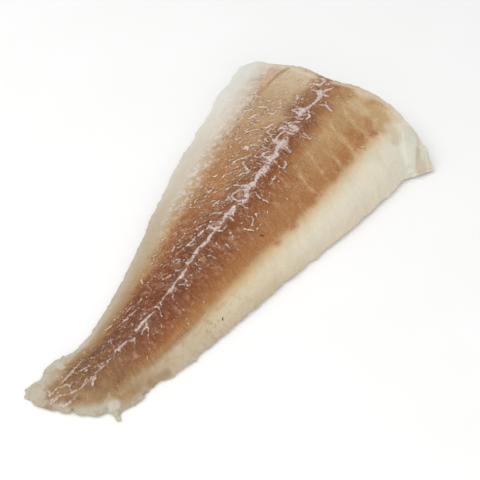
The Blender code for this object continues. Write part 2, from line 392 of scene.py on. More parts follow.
def sculptFlesh():
    points, normals = readPoints(flesh), readNormals(flesh)
    share, off = acrossShare(points)
    facing = fleshShape["facing"]
    skin = smoothStep(*facing["skin"], normals[:, 2])
    under = smoothStep(*facing["under"], -normals[:, 2])
    cut = smoothStep(*facing["cut"], normals[:, 0]) * smoothStep(*fleshShape["cutEnd"], points[:, 0] / mm)
    side = np.clip(1 - skin - under - cut, 0, 1)
    band = smoothStep(*fleshShape["bandBelly"], share) * smoothStep(*fleshShape["bandBack"], share)
    relief = skin * layeredNoise(points, fleshShape["lumps"], 3.7)
    relief += skin * layeredNoise(points, fleshShape["fibres"], 11.3)
    relief += skin * band * layeredNoise(points, fleshShape["roughBand"], 21.9)
    phase = roughPhase(points, off)
    inner, outer = (smoothStep(*fade, abs(share)) for fade in fleshShape["segmentReach"])
    lines = peak(phase, fleshShape["segmentWidth"]) * skin * inner * outer
    relief -= fleshShape["segmentGroove"] * lines * (0.6 + 0.6 * noiseAt(points, 9.0, 35.0))
    fold = 1 - smoothStep(*fleshShape["foldWidth"], awayFrom(points, fleshShape["foldLine"]))
    relief -= fleshShape["foldDepth"] * fold * skin
    rings = cutRings(points) + 0.55 * noiseAt(points, 9.0, 41.0) + 0.22 * noiseAt(points, 3.5, 45.0)
    relief += cut * fleshShape["cutStep"] * (np.mod(rings, 1) - 0.5 + 0.5 * noiseAt(points, 2.2, 43.0))
    relief += (side + 0.5 * cut) * layeredNoise(points, fleshShape["ragged"], 51.7)
    inward = fleshShape["underStep"] * (0.5 + 0.5 * noiseAt(points, 6.0, 61.0)) + 0.25 * peak(phase, 0.2)
    relief -= under * inward
    moved = points + normals * relief[:, None] * mm
    moved[:, 2] -= lowerCorner(points, skin) * mm
    moved = roundDrop(pullNibs(moved, normals))
    moved[:, 2] = np.maximum(moved[:, 2], 0)
    moved[:, 2] -= moved[:, 2].min()
    writePoints(flesh, moved)
    return {"points": moved, "phase": phase, "skin": skin, "under": under, "cut": cut, "rings": rings}


print("sculpting the flesh")
body = sculptFlesh()
fleshTree = BVHTree.FromObject(flesh, bpy.context.evaluated_depsgraph_get())


# Fields: grids over the fillet, seen from above, that are over 0 where a thin layer lies

fieldShape = {
    "empty": -9.0,      # value far from anything
    "reach": 1.5,       # how far round a stroke the values are worked out
    "roughFrom": -1.4,  # where less than this, a field stays empty when it is roughened
    "rimFrom": 0.35,    # rim of a sheet: points with less than this, as a share of the pitch, are moved
    "rimMost": 0.7,     # by this share of the pitch at most
    "rimSlope": 0.2,
}


def emptyField(area):
    spans = zip(area["low"], area["high"])
    return np.full([int((high - low) / area["pitch"]) + 1 for low, high in spans], fieldShape["empty"])


def cellPlaces(area, cells):
    return np.array(area["low"]) + area["pitch"] * cells


def readField(area, field, x, y, outside=0.0):
    # value at places in millimetres, between the cells too
    i, j = (x - area["low"][0]) / area["pitch"], (y - area["low"][1]) / area["pitch"]
    inside = (i >= 0) & (j >= 0) & (i < field.shape[0] - 1) & (j < field.shape[1] - 1)
    i, j = np.clip(i, 0, field.shape[0] - 1.001), np.clip(j, 0, field.shape[1] - 1.001)
    i0, j0 = i.astype(int), j.astype(int)
    di, dj = i - i0, j - j0
    value = (
        field[i0, j0] * (1 - di) * (1 - dj) + field[i0 + 1, j0] * di * (1 - dj)
        + field[i0, j0 + 1] * (1 - di) * dj + field[i0 + 1, j0 + 1] * di * dj
    )
    return np.where(inside, value, outside)


def drawStroke(area, field, path, radii):
    # widens the field by one stroke; path is a list of places and radii its half widths, in millimetres
    pitch, low = area["pitch"], np.array(area["low"])
    for (a, b), (ra, rb) in zip(zip(path, path[1:]), zip(radii, radii[1:])):
        reach = max(ra, rb) + fieldShape["reach"]
        start = np.maximum(((np.minimum(a, b) - reach - low) / pitch).astype(int), 0)
        stop = np.minimum(((np.maximum(a, b) + reach - low) / pitch).astype(int) + 2, field.shape)
        if (stop <= start).any():
            continue
        x = low[0] + pitch * np.arange(start[0], stop[0])[:, None]
        y = low[1] + pitch * np.arange(start[1], stop[1])[None, :]
        run = b - a
        length = max(float(run @ run), 1e-6)
        share = np.clip(((x - a[0]) * run[0] + (y - a[1]) * run[1]) / length, 0, 1)
        away = np.hypot(x - a[0] - share * run[0], y - a[1] - share * run[1])
        part = field[start[0]:stop[0], start[1]:stop[1]]
        np.maximum(part, ra + (rb - ra) * share - away, out=part)


def joinFields(a, b, blend):
    # union of two fields that flow into each other
    near = np.clip(blend - abs(a - b), 0, None) / blend
    return np.maximum(a, b) + near * near * blend / 4


def roughen(area, field, shape, torn=False):
    # wavers the outline of a field, frays its edge and, where asked, tears small holes
    near = np.argwhere(field > fieldShape["roughFrom"])
    places = cellPlaces(area, near)
    flat = np.column_stack((places, np.zeros(len(near)))) * mm
    x = places[:, 0] + layeredNoise(flat, shape["warp"], 61.3)
    y = places[:, 1] + layeredNoise(flat, shape["warp"], 65.3)
    value = readField(area, field, x, y, fieldShape["empty"]) + layeredNoise(flat, shape["edgeNoise"], 71.3)
    if torn:
        level, depth, size = shape["holes"]
        value = np.minimum(value, depth * (level - noiseAt(flat, size, 79.3)))
    made = emptyField(area)
    made[near[:, 0], near[:, 1]] = value
    return made


def blur(field, radius):
    # box blur three times over, radius in cells
    for _ in range(3):
        for axis in (0, 1):
            margins = [(radius + 1, radius) if k == axis else (0, 0) for k in (0, 1)]
            padded = np.pad(field, margins, mode="edge")
            total = np.cumsum(padded, axis=axis)
            size = field.shape[axis]
            high = np.take(total, np.arange(2 * radius + 1, 2 * radius + 1 + size), axis=axis)
            low = np.take(total, np.arange(size), axis=axis)
            field = (high - low) / (2 * radius + 1)
    return field


def sheetOnFlesh(name, area, field, liftAt):
    # a grid laid on the skin side, kept where the field is over 0, its rim drawn onto the line where it is 0
    pitch = area["pitch"]
    choose(None)
    columns, rows = field.shape
    bpy.ops.mesh.primitive_grid_add(x_subdivisions=columns - 1, y_subdivisions=rows - 1, size=1)
    sheet = bpy.context.object
    sheet.name = sheet.data.name = name
    points = readPoints(sheet)
    cells = np.round((points[:, :2] + 0.5) * (np.array(field.shape) - 1)).astype(int)
    value = field[cells[:, 0], cells[:, 1]]
    slope = np.column_stack([part[cells[:, 0], cells[:, 1]] for part in np.gradient(field, pitch)])
    steep = np.maximum(slope[:, 0] ** 2 + slope[:, 1] ** 2, fieldShape["rimSlope"])
    step = slope * np.where(value < fieldShape["rimFrom"] * pitch, -value / steep, 0)[:, None]
    step /= np.maximum(np.hypot(step[:, 0], step[:, 1]) / (fieldShape["rimMost"] * pitch), 1)[:, None]
    corners = np.empty(len(sheet.data.polygons) * 4, np.int32)
    sheet.data.polygons.foreach_get("vertices", corners)
    inside = (value[corners.reshape(-1, 4)] > 0).sum(1) >= 3
    points[:, :2] = (cellPlaces(area, cells) + step) * mm
    writePoints(sheet, points)
    sheet.data.polygons.foreach_set("select", ~inside)
    sheet.data.vertices.foreach_set("select", np.zeros(len(points), bool))
    bpy.ops.object.mode_set(mode="EDIT")
    bpy.ops.mesh.select_mode(type="FACE")
    bpy.ops.mesh.delete(type="FACE")
    bpy.ops.mesh.select_all(action="SELECT")
    bpy.ops.mesh.delete_loose()
    bpy.ops.object.mode_set(mode="OBJECT")
    points = readPoints(sheet)
    for point in points:
        hit = fleshTree.ray_cast(Vector((point[0], point[1], 0.1)), Vector((0, 0, -1)))[0]
        point[2] = hit.z if hit else mm
    points[:, 2] += liftAt(points, readField(area, field, *(points[:, :2] / mm).T)) * mm
    writePoints(sheet, points)
    return sheet


# Silver membrane: one thin web of strokes that lies on the skin side

webArea = {"pitch": 0.28, "low": (-114.0, -42.0), "high": (112.0, 52.0)}

webShape = {
    "widths": 1.08,             # of the widths below
    "blend": 0.5,               # how far strokes flow into each other where they meet
    "warp": [(0.32, 2.2), (0.20, 0.9)],
    "edgeNoise": [(0.22, 1.2), (0.14, 0.6)],
    "holes": (0.36, 1.8, 1.5),  # noise level, depth and size
    "bridge": (4, 0.30, 1.8),   # veil in narrow gaps: reach in cells, cover it needs, steepness
    "hazeReach": 7,             # cells, of the shade among the strands and of the dark line round each
    "closeReach": 2,
    "hem": 0.34,                # how far the sheet reaches past what shows of it
    "lift": 0.22,
    "liftLumps": [(0.5, 1.6)],
    "liftRise": (-0.3, 0.5),    # from its edge inwards
    "liftLeast": 0.01,
    "thickness": 0.35,
    "tailThinning": 0.24,
    "faintVeil": (0.6, 0.4, 1.0),   # softness of its edge, level there and strength
    "bridgeVeil": (0.6, 0.3, 0.7),
    "wander": 0.22,             # of the bend of a strand, at each of its parts
    "seed": 7,
    "randomAlong": (-108, 104),     # where small strokes and flecks lie along the fish
    "smallStrokes": 380,
    "smallPlaces": (0.84, 0.58),    # share on the back side, and how far out they go
    "smallWidths": (0.14, 0.31),
    "flecks": 290,
    "fleckPlaces": (0.86, 0.68),
    "fleckTurn": (160, 50),     # degrees and spread
    "fleckLengths": (0.4, 1.4),
    "fleckBend": 0.3,
    "fleckWidths": (0.14, 0.26),
    "curlSeed": 11,
    "curls": 80,
    "curlsAlong": (-80, 45),
    "curlsAcross": (0.10, 0.42),
    "curlBends": (0.25, 0.65),
    "curlTurn": (275, 25),
    "curlLengths": (1.8, 4.2),
    "curlWidths": (0.22, 0.42),
    # small strokes of each side: degrees by the tail, turn to the cut end, spread, shortest, longest and bend
    "backStrands": (168, -28, 9, 1.0, 4.5, 0.2),
    "bellyStrands": (218, 42, 24, 0.8, 2.6, 0.3),
    "quietShare": 0.85,
    "quiet": [                  # places with hardly a random strand: pixel and radius in millimetres
        (290, 84, 8), (276, 90, 6), (282, 116, 4), (192, 214, 3.5), (157, 288, 4), (148, 291, 3),
        (215, 160, 3), (106, 362, 3), (330, 150, 9), (300, 180, 7), (204, 234, 5), (191, 228, 4),
        (192, 250, 4), (166, 286, 4), (144, 288, 4), (142, 297, 3),
    ],
}

# Strokes of the membrane: pixel x, y and width of its points. First the streak and what branches from it.
streakStrokes = [
    [(333, 88, 1.2), (327.3, 89.6, 2.2), (324, 91.8, 2.2), (320.7, 93.2, 6.5), (319.5, 96, 4.5),
     (317.7, 99.8, 3), (314.1, 102.9, 2.5), (311, 105.9, 2.4), (308, 108.5, 2.4), (305.4, 109.5, 3)],
    [(320.7, 93, 4), (315.1, 90.6, 1.2)], [(320.7, 93, 4), (320.7, 88.6, 1.4)],
    [(322, 94, 3), (325.5, 96.5, 1)], [(305.4, 109, 2.6), (298.8, 108.5, 2), (291.4, 110, 1.6)],
    [(291.4, 110, 1.8), (295.7, 112, 2), (299.8, 115.1, 3)],
    [(305, 110.5, 4), (300.5, 112.5, 5), (299.5, 115, 3)], [(308, 110, 3), (309.2, 112.5, 2)],
    [(290.6, 117.7, 1.8), (294.7, 116.6, 1.6), (298.8, 118.7, 1.8), (303.4, 119.2, 2.2), (307.4, 118.2, 2.4),
     (310, 116.1, 2.4), (308, 114.5, 1.6), (305.9, 114.9, 2), (300, 115, 3)],
    [(277.3, 131, 1.2), (279.4, 128.4, 1.8), (284.5, 126.3, 1.8), (287.5, 124.2, 1.8), (290.6, 122.2, 2),
     (295.7, 122, 2.2), (300.3, 122, 1.8)],
    [(287, 126.8, 2.5), (292, 126.3, 4.5), (296.5, 127.8, 5.5), (296, 130.5, 4)],
    [(282.4, 127.9, 1.6), (288.6, 129.4, 2), (293.2, 130.9, 2.6)],
    [(276.3, 138.6, 1.6), (277, 137.3, 1.8), (279.1, 135.2, 1.8), (281.6, 132.3, 2), (285.7, 131.6, 2),
     (289.3, 133.2, 2.4), (293.4, 134.2, 2.2), (298.5, 135.3, 1.8), (305, 137.2, 1.5), (312, 139.3, 1.2)],
    [(303.9, 133.2, 2.6), (306, 135, 1.6), (308, 136.8, 1.2)],
    [(286.2, 138.3, 4.5), (283.5, 141.3, 4.5), (280.6, 144.2, 5.5), (277, 142.5, 4), (274, 141, 3.5),
     (272.6, 139.6, 2.5)],
    [(279.1, 135.4, 1.8), (276.5, 138.5, 2), (274.5, 141, 2.5)],
    [(287.5, 134, 1.6), (287.5, 136.5, 2), (286.5, 138.5, 3)],
    [(283, 141.5, 4), (286.2, 143.9, 3.5), (287.5, 141, 2.5)],
    [(284, 146, 2.5), (286.2, 147.4, 1.6), (288.3, 149.5, 1.6), (291.5, 151.2, 1.4)],
    [(280, 146.5, 2), (282.6, 148, 1.3), (286.2, 150.3, 1.3), (290.3, 152.6, 1.3)],
    [(280.6, 144.5, 5.5), (277.7, 147.7, 4), (276, 151.5, 4), (276.7, 155, 4.4), (272.4, 156.8, 6.4),
     (269.4, 159.5, 4.5)],
    [(276.7, 155, 3), (278.6, 155.6, 2)],
    [(264.6, 150.8, 1.3), (263.8, 152.5, 2.2), (262.2, 155.1, 2), (259.7, 157.7, 1.8), (255.1, 156.9, 1.4),
     (251.5, 156.4, 1.2)],
    [(262.6, 155.5, 1.6), (265.8, 157.3, 2.2), (270, 157.5, 3)],
    [(269.4, 160.7, 2.5), (263.8, 161.9, 1.3), (260.2, 160.6, 1.2)],
    [(271, 160.5, 2.5), (274, 161.2, 2), (276.5, 162.8, 1.6), (278.6, 165.8, 1.5), (281.1, 167.9, 2),
     (283.7, 167.7, 2.4), (285.7, 165, 2.4), (285.9, 162.4, 1.6), (283.4, 161.2, 1)],
    [(269.4, 160, 4.4), (268.6, 163, 3.2), (267, 165.8, 6), (264.8, 169.6, 7.2), (260.7, 172.6, 6.8),
     (258, 176.2, 4.2), (255.1, 180.6, 4.4), (252.3, 184.4, 6), (248.5, 186.4, 4.2), (245, 185.2, 2.8),
     (241.8, 185.7, 2.2), (238.8, 186, 2.2), (235.7, 185, 1.8), (232.7, 185.9, 1.5), (229.1, 187.8, 1.4),
     (226, 190, 1.4)],
    [(261, 172.8, 3), (257, 173.2, 1.8), (254.4, 173, 1)], [(264.8, 170.5, 4), (268.8, 170.3, 1.5)],
    [(263, 173.5, 3), (265.6, 176.3, 1.2)], [(252.3, 184.4, 4), (255.1, 187.6, 1.8)],
    [(267, 163, 1.5), (270, 165.2, 1.4), (272.5, 163.2, 1.2)],
    [(237, 184.6, 1.4), (237.8, 182.1, 1.3), (240.3, 179.1, 1.2), (243, 176.3, 1.1)],
    [(248.5, 187, 4), (247.2, 190.5, 4.8), (247, 194.5, 5), (245.6, 199, 4.8), (242.9, 201.6, 4.8),
     (238.5, 203.2, 4.2), (236, 205.2, 3.8), (234.1, 207.4, 4.4), (232.3, 210.5, 5.4), (229.5, 213.6, 6.2),
     (226.5, 215.6, 4.6), (224.4, 218.2, 3.2), (223.4, 220.2, 3.4), (220.8, 223.3, 4), (218.2, 227, 4.6),
     (215.9, 229, 4), (213.9, 232, 2.2), (211.6, 234.6, 3), (209.1, 238.1, 3.6), (206.5, 242.1, 4.2),
     (202.6, 245.1, 4.2), (199.6, 248.2, 4.4), (196.6, 251.8, 4), (193.8, 255.8, 4.2), (192.8, 258.9, 3),
     (191.6, 261.5, 2), (188.4, 262.6, 4.2), (187.6, 265.6, 2.5), (185.6, 269.6, 2.6), (183.6, 272.7, 4.2),
     (181.5, 276.2, 5.2), (178, 278.9, 2.8), (175.4, 282.9, 2.6), (172.9, 286.4, 2.8), (170.8, 290, 4.8),
     (167.2, 293.3, 2.6), (164.7, 296.6, 2.3), (161.6, 300.2, 2.4), (160.1, 303.3, 3.4), (161.3, 304.8, 1.5)],
    [(246.8, 190.4, 2.5), (243.5, 189.6, 1.8), (240.3, 190, 1.8), (236.5, 190.9, 1.8), (233.5, 193.3, 1.8),
     (231.3, 195.9, 2.2), (228.5, 198.3, 2), (225.9, 200.3, 1.7), (220.8, 202, 1)],
    [(231.3, 196.3, 2), (235.1, 199.3, 1.8), (238.2, 200.8, 2), (240.5, 202, 2.6)],
    [(216.7, 202.9, 1.5), (215.7, 204.5, 1.5), (217.8, 206, 1.2)],
    [(240.2, 203.6, 1.8), (243.3, 205.4, 1.3), (245.8, 207.4, 1.2), (248, 208.6, 1.8)],
    [(231, 213, 3), (233.8, 215.6, 1.3)],
    [(226.5, 214.6, 2.6), (222.9, 213.4, 1.8), (218.8, 213, 1.6), (214.7, 213.2, 1.6), (211.1, 214.7, 1.4),
     (208.6, 216.6, 1.2), (205.5, 217.8, 1)],
    [(225.9, 216.6, 2), (229, 217.1, 1.8), (231.5, 218.2, 1.6), (233.2, 220.4, 1.6)],
    [(216.5, 229.6, 3), (220, 231, 2), (222.4, 230.7, 1.6), (224.9, 228.4, 1.4), (226.6, 225.4, 1.2)],
    [(215.7, 228.9, 3), (212.7, 228.2, 2), (209, 227.2, 2), (206.4, 228.9, 1.4)],
    [(203, 230.6, 2.4), (201.5, 232.5, 3), (198.9, 235.2, 2.2), (195.3, 238.1, 2.2), (191.7, 241.6, 2),
     (187.9, 244.7, 2.2), (185.1, 247.2, 1.6), (182.8, 248.6, 1.4), (185.1, 250.9, 1.4)],
    [(188.5, 244.6, 1.6), (191.5, 245.6, 1.4)], [(188, 262.4, 2.5), (185.1, 261.9, 1.2)],
    [(183.6, 277.8, 1.5), (186.1, 280.3, 1.3), (188.7, 281.8, 1.3), (191.2, 282.3, 1.3), (189.7, 284.9, 1.2)],
    [(180, 284.9, 1.2), (184.1, 283.9, 1.4), (186.6, 284.4, 2.2), (187.7, 286.9, 1.4), (186.6, 288.5, 1.6)],
    [(172.5, 286.6, 1.6), (173.9, 288, 1.4), (176.4, 289.5, 1.3), (174.9, 292, 1.3)],
    [(171.5, 291.5, 2.4), (172.3, 293.6, 1.5), (173.9, 295.6, 1.5), (172.3, 297.1, 1.4)],
    [(173.4, 299.2, 1.2), (176.9, 303.8, 1.3)],
    [(153.6, 307.4, 1.6), (156, 306.9, 2.6), (158.4, 307, 2.4), (159.8, 310, 1.8), (160.7, 313, 1.6),
     (162.1, 317, 1)],
    [(153.4, 311.4, 1.2), (150.4, 315, 2.2), (148.3, 317.6, 2.6), (145.2, 320.3, 2.6), (141.6, 323.7, 4),
     (139.1, 327.6, 2.6), (135.4, 331.6, 3.4), (132.6, 334.3, 3.2), (130.8, 335.8, 3.6), (133, 336.6, 3.2),
     (134.4, 338.4, 2.8), (133.4, 340.2, 2.4), (130.5, 340.7, 2.4), (127.3, 341.2, 2.8), (124.3, 343.6, 3.2),
     (121.2, 346.8, 4.4), (119.2, 349.5, 4.4), (115.8, 349.9, 2.2), (114.2, 351.8, 1.2)],
    [(130.8, 335.8, 2), (128.3, 336.5, 1.4)], [(134.5, 341.3, 1.4), (135.5, 343.6, 1)],
    [(119.4, 350.5, 2.4), (120.7, 352.4, 1.4)], [(115.8, 350.4, 1.5), (114.3, 354.6, 1.3), (113.4, 358, 1.2)],
    [(145.7, 321.1, 1.6), (146.7, 324.7, 1.7), (148.3, 328.8, 1.7), (148.5, 333.4, 1.6), (148.8, 343.6, 1.1)],
    [(146.7, 326.7, 2.2), (144.2, 328.3, 2.2), (142.1, 331.8, 1.6), (141.1, 334.4, 1.3)],
    [(112.6, 358.7, 1.3), (109.5, 360, 2.4), (105.4, 363, 4), (101.8, 365.6, 4.4), (97.8, 364.6, 2.2)],
    [(101.8, 366, 4), (99.1, 370.3, 1.8), (96.3, 372.8, 2), (95.2, 376.2, 2), (94.3, 379, 3.2),
     (92.7, 382, 3.4), (92.9, 385, 2.4)],
    [(95.3, 377.6, 1.5), (91.2, 376.8, 1.8), (90.6, 380, 1.5)],
    [(87, 377.5, 1.3), (84.8, 381.7, 1.3), (82.8, 385.6, 1.8), (78.7, 389.2, 1.6), (76.1, 389.9, 1.8),
     (73.1, 391.9, 2.2), (69, 394.3, 1.4), (63.9, 395.1, 1.4), (58.8, 396.1, 1.4), (55.7, 398.9, 1.6),
     (51.6, 400.6, 2)],
    [(88.4, 380, 1.4), (85.8, 383.8, 1.3), (83.2, 386, 2)],
    [(57, 398.6, 1.3), (56, 401.2, 1.3), (53.2, 404.2, 1.6), (50.2, 405.3, 1.4)],
    [(67, 383.6, 1.6), (64.4, 385.8, 2), (60.8, 387.7, 2), (58.3, 387, 2), (55.4, 390.6, 1.2),
     (51.3, 394.8, 1.3), (49.3, 396, 1.4)],
    [(74.1, 382.2, 1.4), (70.5, 384.8, 2), (68.6, 386.8, 1.4), (71.2, 390.7, 1.1)],
    [(46.5, 389.4, 1.4), (49, 390.9, 1.7), (49.6, 394, 1.6), (49, 396.4, 1.6)],
    [(79.2, 364.4, 1.4), (75.1, 368.5, 2), (69.5, 374.1, 2.2), (65.9, 378.7, 1.8), (62.9, 381.7, 2),
     (59.8, 384.3, 1.3)],
    [(90.4, 365.9, 1.5), (87.3, 366.9, 2.5), (83.3, 369.5, 2), (79.7, 371.5, 1.8), (75.6, 373.6, 1.8)],
]

# Loose strands and dots beside it that show white.
looseStrokes = [
    [(311, 85, 1.6), (314.1, 83.5, 2), (317.1, 84.5, 2), (319.7, 86, 2), (322.2, 83.5, 1.8),
     (325.3, 81.9, 1.6), (322.2, 79.9, 1.8)],
    [(319.7, 104.9, 1.8), (323.3, 105.4, 2), (326.3, 105.9, 2.2), (329.4, 109, 2.4), (331.4, 111, 1.8)],
    [(326, 105.5, 1.6), (325.8, 102.3, 1.6)], [(296.2, 99.8, 1.6), (297.5, 97.8, 2.6), (302.3, 97.8, 1.8)],
    [(295.7, 96.2, 1.4), (302.3, 97.6, 1.6)], [(294.8, 102.3, 2), (296.6, 102.2, 2)],
    [(285.5, 92.7, 1.8), (287.5, 92.7, 1.8)], [(288.6, 99.5, 1.8)], [(280.4, 103.4, 1.8)],
    [(258.3, 107.8, 1.8), (261.3, 106.7, 2.4), (264.9, 107.2, 2.2), (268.5, 110.3, 1.6)],
    [(264.6, 105.7, 1.7)], [(276.8, 111.5, 1.6), (272.8, 114.1, 2.4), (270.2, 113.1, 1.6)],
    [(266.1, 115.1, 2)],
    [(261.5, 127.9, 1.6), (266.1, 127.9, 2), (270.2, 125.3, 1.8), (272.8, 123.8, 1.6)],
    [(245.9, 132.7, 1.8), (249.5, 131.1, 2.2), (253.6, 130.1, 2), (260.7, 129.3, 1.2)],
    [(265.8, 132.1, 1.3), (268.4, 130.6, 1.3), (270.9, 128.6, 1.4)], [(272.4, 129.6, 1.3), (276.5, 127, 1.3)],
    [(271.4, 137, 2.6)],
    [(249.1, 119, 2.2), (253.2, 116.4, 3), (256.2, 114.4, 2.2), (259.3, 114.9, 1.8)],
    [(246, 105.2, 2.4), (250, 105.6, 2.4), (254, 105.7, 1.4)],
    [(241.9, 110.3, 1.5), (246, 110.6, 1.8), (251.6, 109.3, 1.5)],
    [(248.1, 96.5, 1.6), (251.1, 94, 1.8), (255.7, 93, 2), (256.2, 97, 1.8), (255.2, 100.1, 1.8),
     (252.7, 102.1, 1.8)],
    [(247, 86.8, 1.3), (249.5, 86.6, 1.5)], [(240, 101.1, 1.5), (242, 101.1, 1.5)],
    [(236.2, 139.3, 1.6), (235.2, 140.8, 1.5)], [(230.2, 147.4, 2.4), (230.8, 146, 1.6)],
    [(243.9, 149, 2.4), (246.2, 147, 3.4), (247.4, 150, 2)], [(249.5, 146.4, 1.6), (255.6, 145.4, 1.4)],
    [(258.7, 140.8, 1.8), (262.8, 139.8, 2), (265.8, 140.3, 1.8), (267.9, 141.8, 1.4)],
    [(262.8, 144.9, 1.8), (265.3, 142.9, 1.4)],
    [(230.1, 165.8, 2.2), (233.2, 163.8, 2.2), (235.7, 160.7, 1.5), (240.3, 158.7, 1.3), (243.9, 158.2, 1.8),
     (248, 154.6, 1.1)],
    [(242.9, 162.8, 1.4), (246.9, 160.7, 1.4), (253.1, 159.7, 1.3)],
    [(242.9, 163, 1.4), (244.4, 165.8, 1.8), (246.9, 168.9, 2.2), (250, 170.4, 1.6)],
    [(236.2, 167.3, 1.4), (239.3, 166.8, 1.4)], [(239.3, 170.9, 1.4), (242.9, 168.4, 1.3)],
    [(225, 174.5, 1.2), (229.1, 174, 1.2), (232.7, 172.4, 1.3), (236.2, 170.9, 1.2)],
    [(239.8, 175.5, 1.4), (242.3, 173.5, 1.5), (246.9, 173, 1.6), (249, 171.4, 1.4)],
    [(256.6, 162.8, 1.4), (260.7, 164.3, 1.4)], [(275, 176, 1.5), (275, 178.6, 2.2), (271.9, 180.6, 1.6)],
    [(263.3, 181.9, 1.7)], [(250, 194, 1.6), (251.5, 192.6, 1.6)],
    [(255.6, 192.3, 1.4), (257.7, 195.9, 1.5), (260.7, 198.5, 1.8), (263.8, 200, 1.8), (266.8, 200.5, 1.5),
     (268.9, 203.1, 1.3)],
    [(215.2, 176.8, 2.8), (217, 175.4, 1.8)], [(222.4, 177.5, 1.6), (224.7, 175.3, 1.4)], [(227, 185.5, 1.5)],
    [(228, 202.9, 1.6)], [(224.9, 204.9, 1.5), (222.9, 208, 1.4)], [(207.6, 185.5, 1.6), (205, 188.6, 1.8)],
    [(213.7, 187, 1.4), (210.6, 191.1, 1.4), (208.1, 192.6, 1.4)], [(192.2, 194.7, 1.8), (191.2, 197.2, 1.8)],
    [(190.2, 205, 3), (191.8, 203.6, 1.2)], [(210.1, 221.6, 2.6)], [(196.8, 229.4, 2.6)],
    [(185.1, 233.6, 2.2)], [(189.7, 234.5, 1.5)],
    [(251.9, 216.6, 1.4), (253, 220.2, 1.4), (251.9, 225.3, 1.3)],
    [(256.5, 216.6, 1.3), (256, 213.9, 1.8), (258.6, 213.1, 1.8)],
    [(244.8, 228.9, 2), (248.9, 229.9, 1.6), (253, 230.4, 1.6), (256.5, 229.4, 1.5), (259.6, 227.3, 1.3)],
    [(230.5, 233, 2.2)], [(238.2, 250, 1.6)],
    [(208.1, 256.4, 1.2), (210.6, 255.4, 1.4), (214.7, 258, 1.5), (218.3, 259, 1.2)],
    [(224.9, 244.2, 1.2), (228.5, 246.2, 1.4), (230.5, 249.3, 1.2)],
    [(208.6, 249.8, 1.3), (212.7, 251.8, 1.4)],
    [(178, 243.6, 1.6), (174.9, 245.6, 1.6), (173.9, 249.2, 2), (170.8, 252.2, 2.8), (167.2, 252.2, 1.8)],
    [(153.6, 258, 1.8), (153.5, 260.8, 1.8)],
    [(180.5, 259.4, 1.4), (176.9, 259.4, 2.2), (174.4, 259.4, 1.4), (172.9, 261.4, 1.3), (167.8, 264.5, 1.3)],
    [(175.9, 270.1, 2.2), (179, 270.6, 2), (182, 268.1, 1.2)], [(173.9, 274.7, 2.8), (169.8, 275.7, 2)],
    [(167.8, 277.2, 1.6), (162.7, 279.3, 1.6)], [(142.2, 277.8, 2), (141.2, 280.8, 2.8), (142, 283.4, 1.4)],
    [(141.7, 298.2, 1.5), (138.2, 302.8, 1.6)], [(147.3, 296.6, 1.7)],
    [(148.9, 306.8, 1.6), (145.8, 307.3, 1.8), (142.8, 309.4, 1.5)], [(187.7, 271.1, 1.6)],
    [(199.4, 259.9, 2)], [(194.8, 263, 1.2), (197.3, 265, 1.3), (200.9, 266, 1.2)],
    [(195.8, 270.6, 1.2), (198.9, 270.6, 1.3), (199.9, 272.1, 1.2)],
    [(139.1, 307.9, 1.6), (134, 312.4, 2.4), (129.4, 315.5, 2.2), (127.3, 319.1, 2.4), (123.8, 321.6, 1.8),
     (119.2, 325.2, 1.2)],
    [(115.1, 319.1, 1.5), (110.5, 322.7, 1.6)], [(112.6, 324.7, 1.6), (109.5, 327.2, 2), (105.9, 329.8, 1.6)],
    [(118.7, 315.3, 2.4)], [(131.4, 323.7, 2.2), (129.4, 325.2, 1.3)], [(120.2, 336.9, 1.8)],
    [(110.5, 340.5, 1.8), (112, 343.6, 1.3), (113.6, 347.7, 1.2)], [(96.2, 355.8, 1.8), (98, 355.4, 1.4)],
    [(92.1, 358.4, 1.4), (95, 357, 1.4)], [(101.8, 351.2, 2)], [(149.8, 348.7, 1.8)],
    [(150.2, 342, 1.4), (152.4, 342, 1.4)], [(135, 350, 1.8), (135, 351.6, 1.8)], [(87.6, 364, 1.9)],
    [(152.3, 334.9, 1.1), (156.4, 332.9, 1.2), (160.5, 328.8, 1.3), (161.5, 325.2, 1.4)],
    [(61.8, 404.7, 1.8), (65, 404.7, 1.6), (67.4, 404.2, 2.4), (72, 401.1, 1.6), (75.1, 397, 1.5),
     (76, 393.5, 1.2)],
    [(48.6, 383.6, 1.2), (51, 384.8, 1.4)], [(318.2, 118.2, 1.6)], [(310.5, 124.8, 1.8)],
    [(326.3, 87.6, 1.4)], [(318.5, 79, 2), (322.5, 78.8, 2.8), (325.5, 80, 2)],
    [(326, 85, 2.4), (329.2, 84, 2)], [(315.5, 80, 2), (318.5, 82, 2)], [(248, 202, 1.5)],
    [(232.4, 156.1, 1.5)],
]

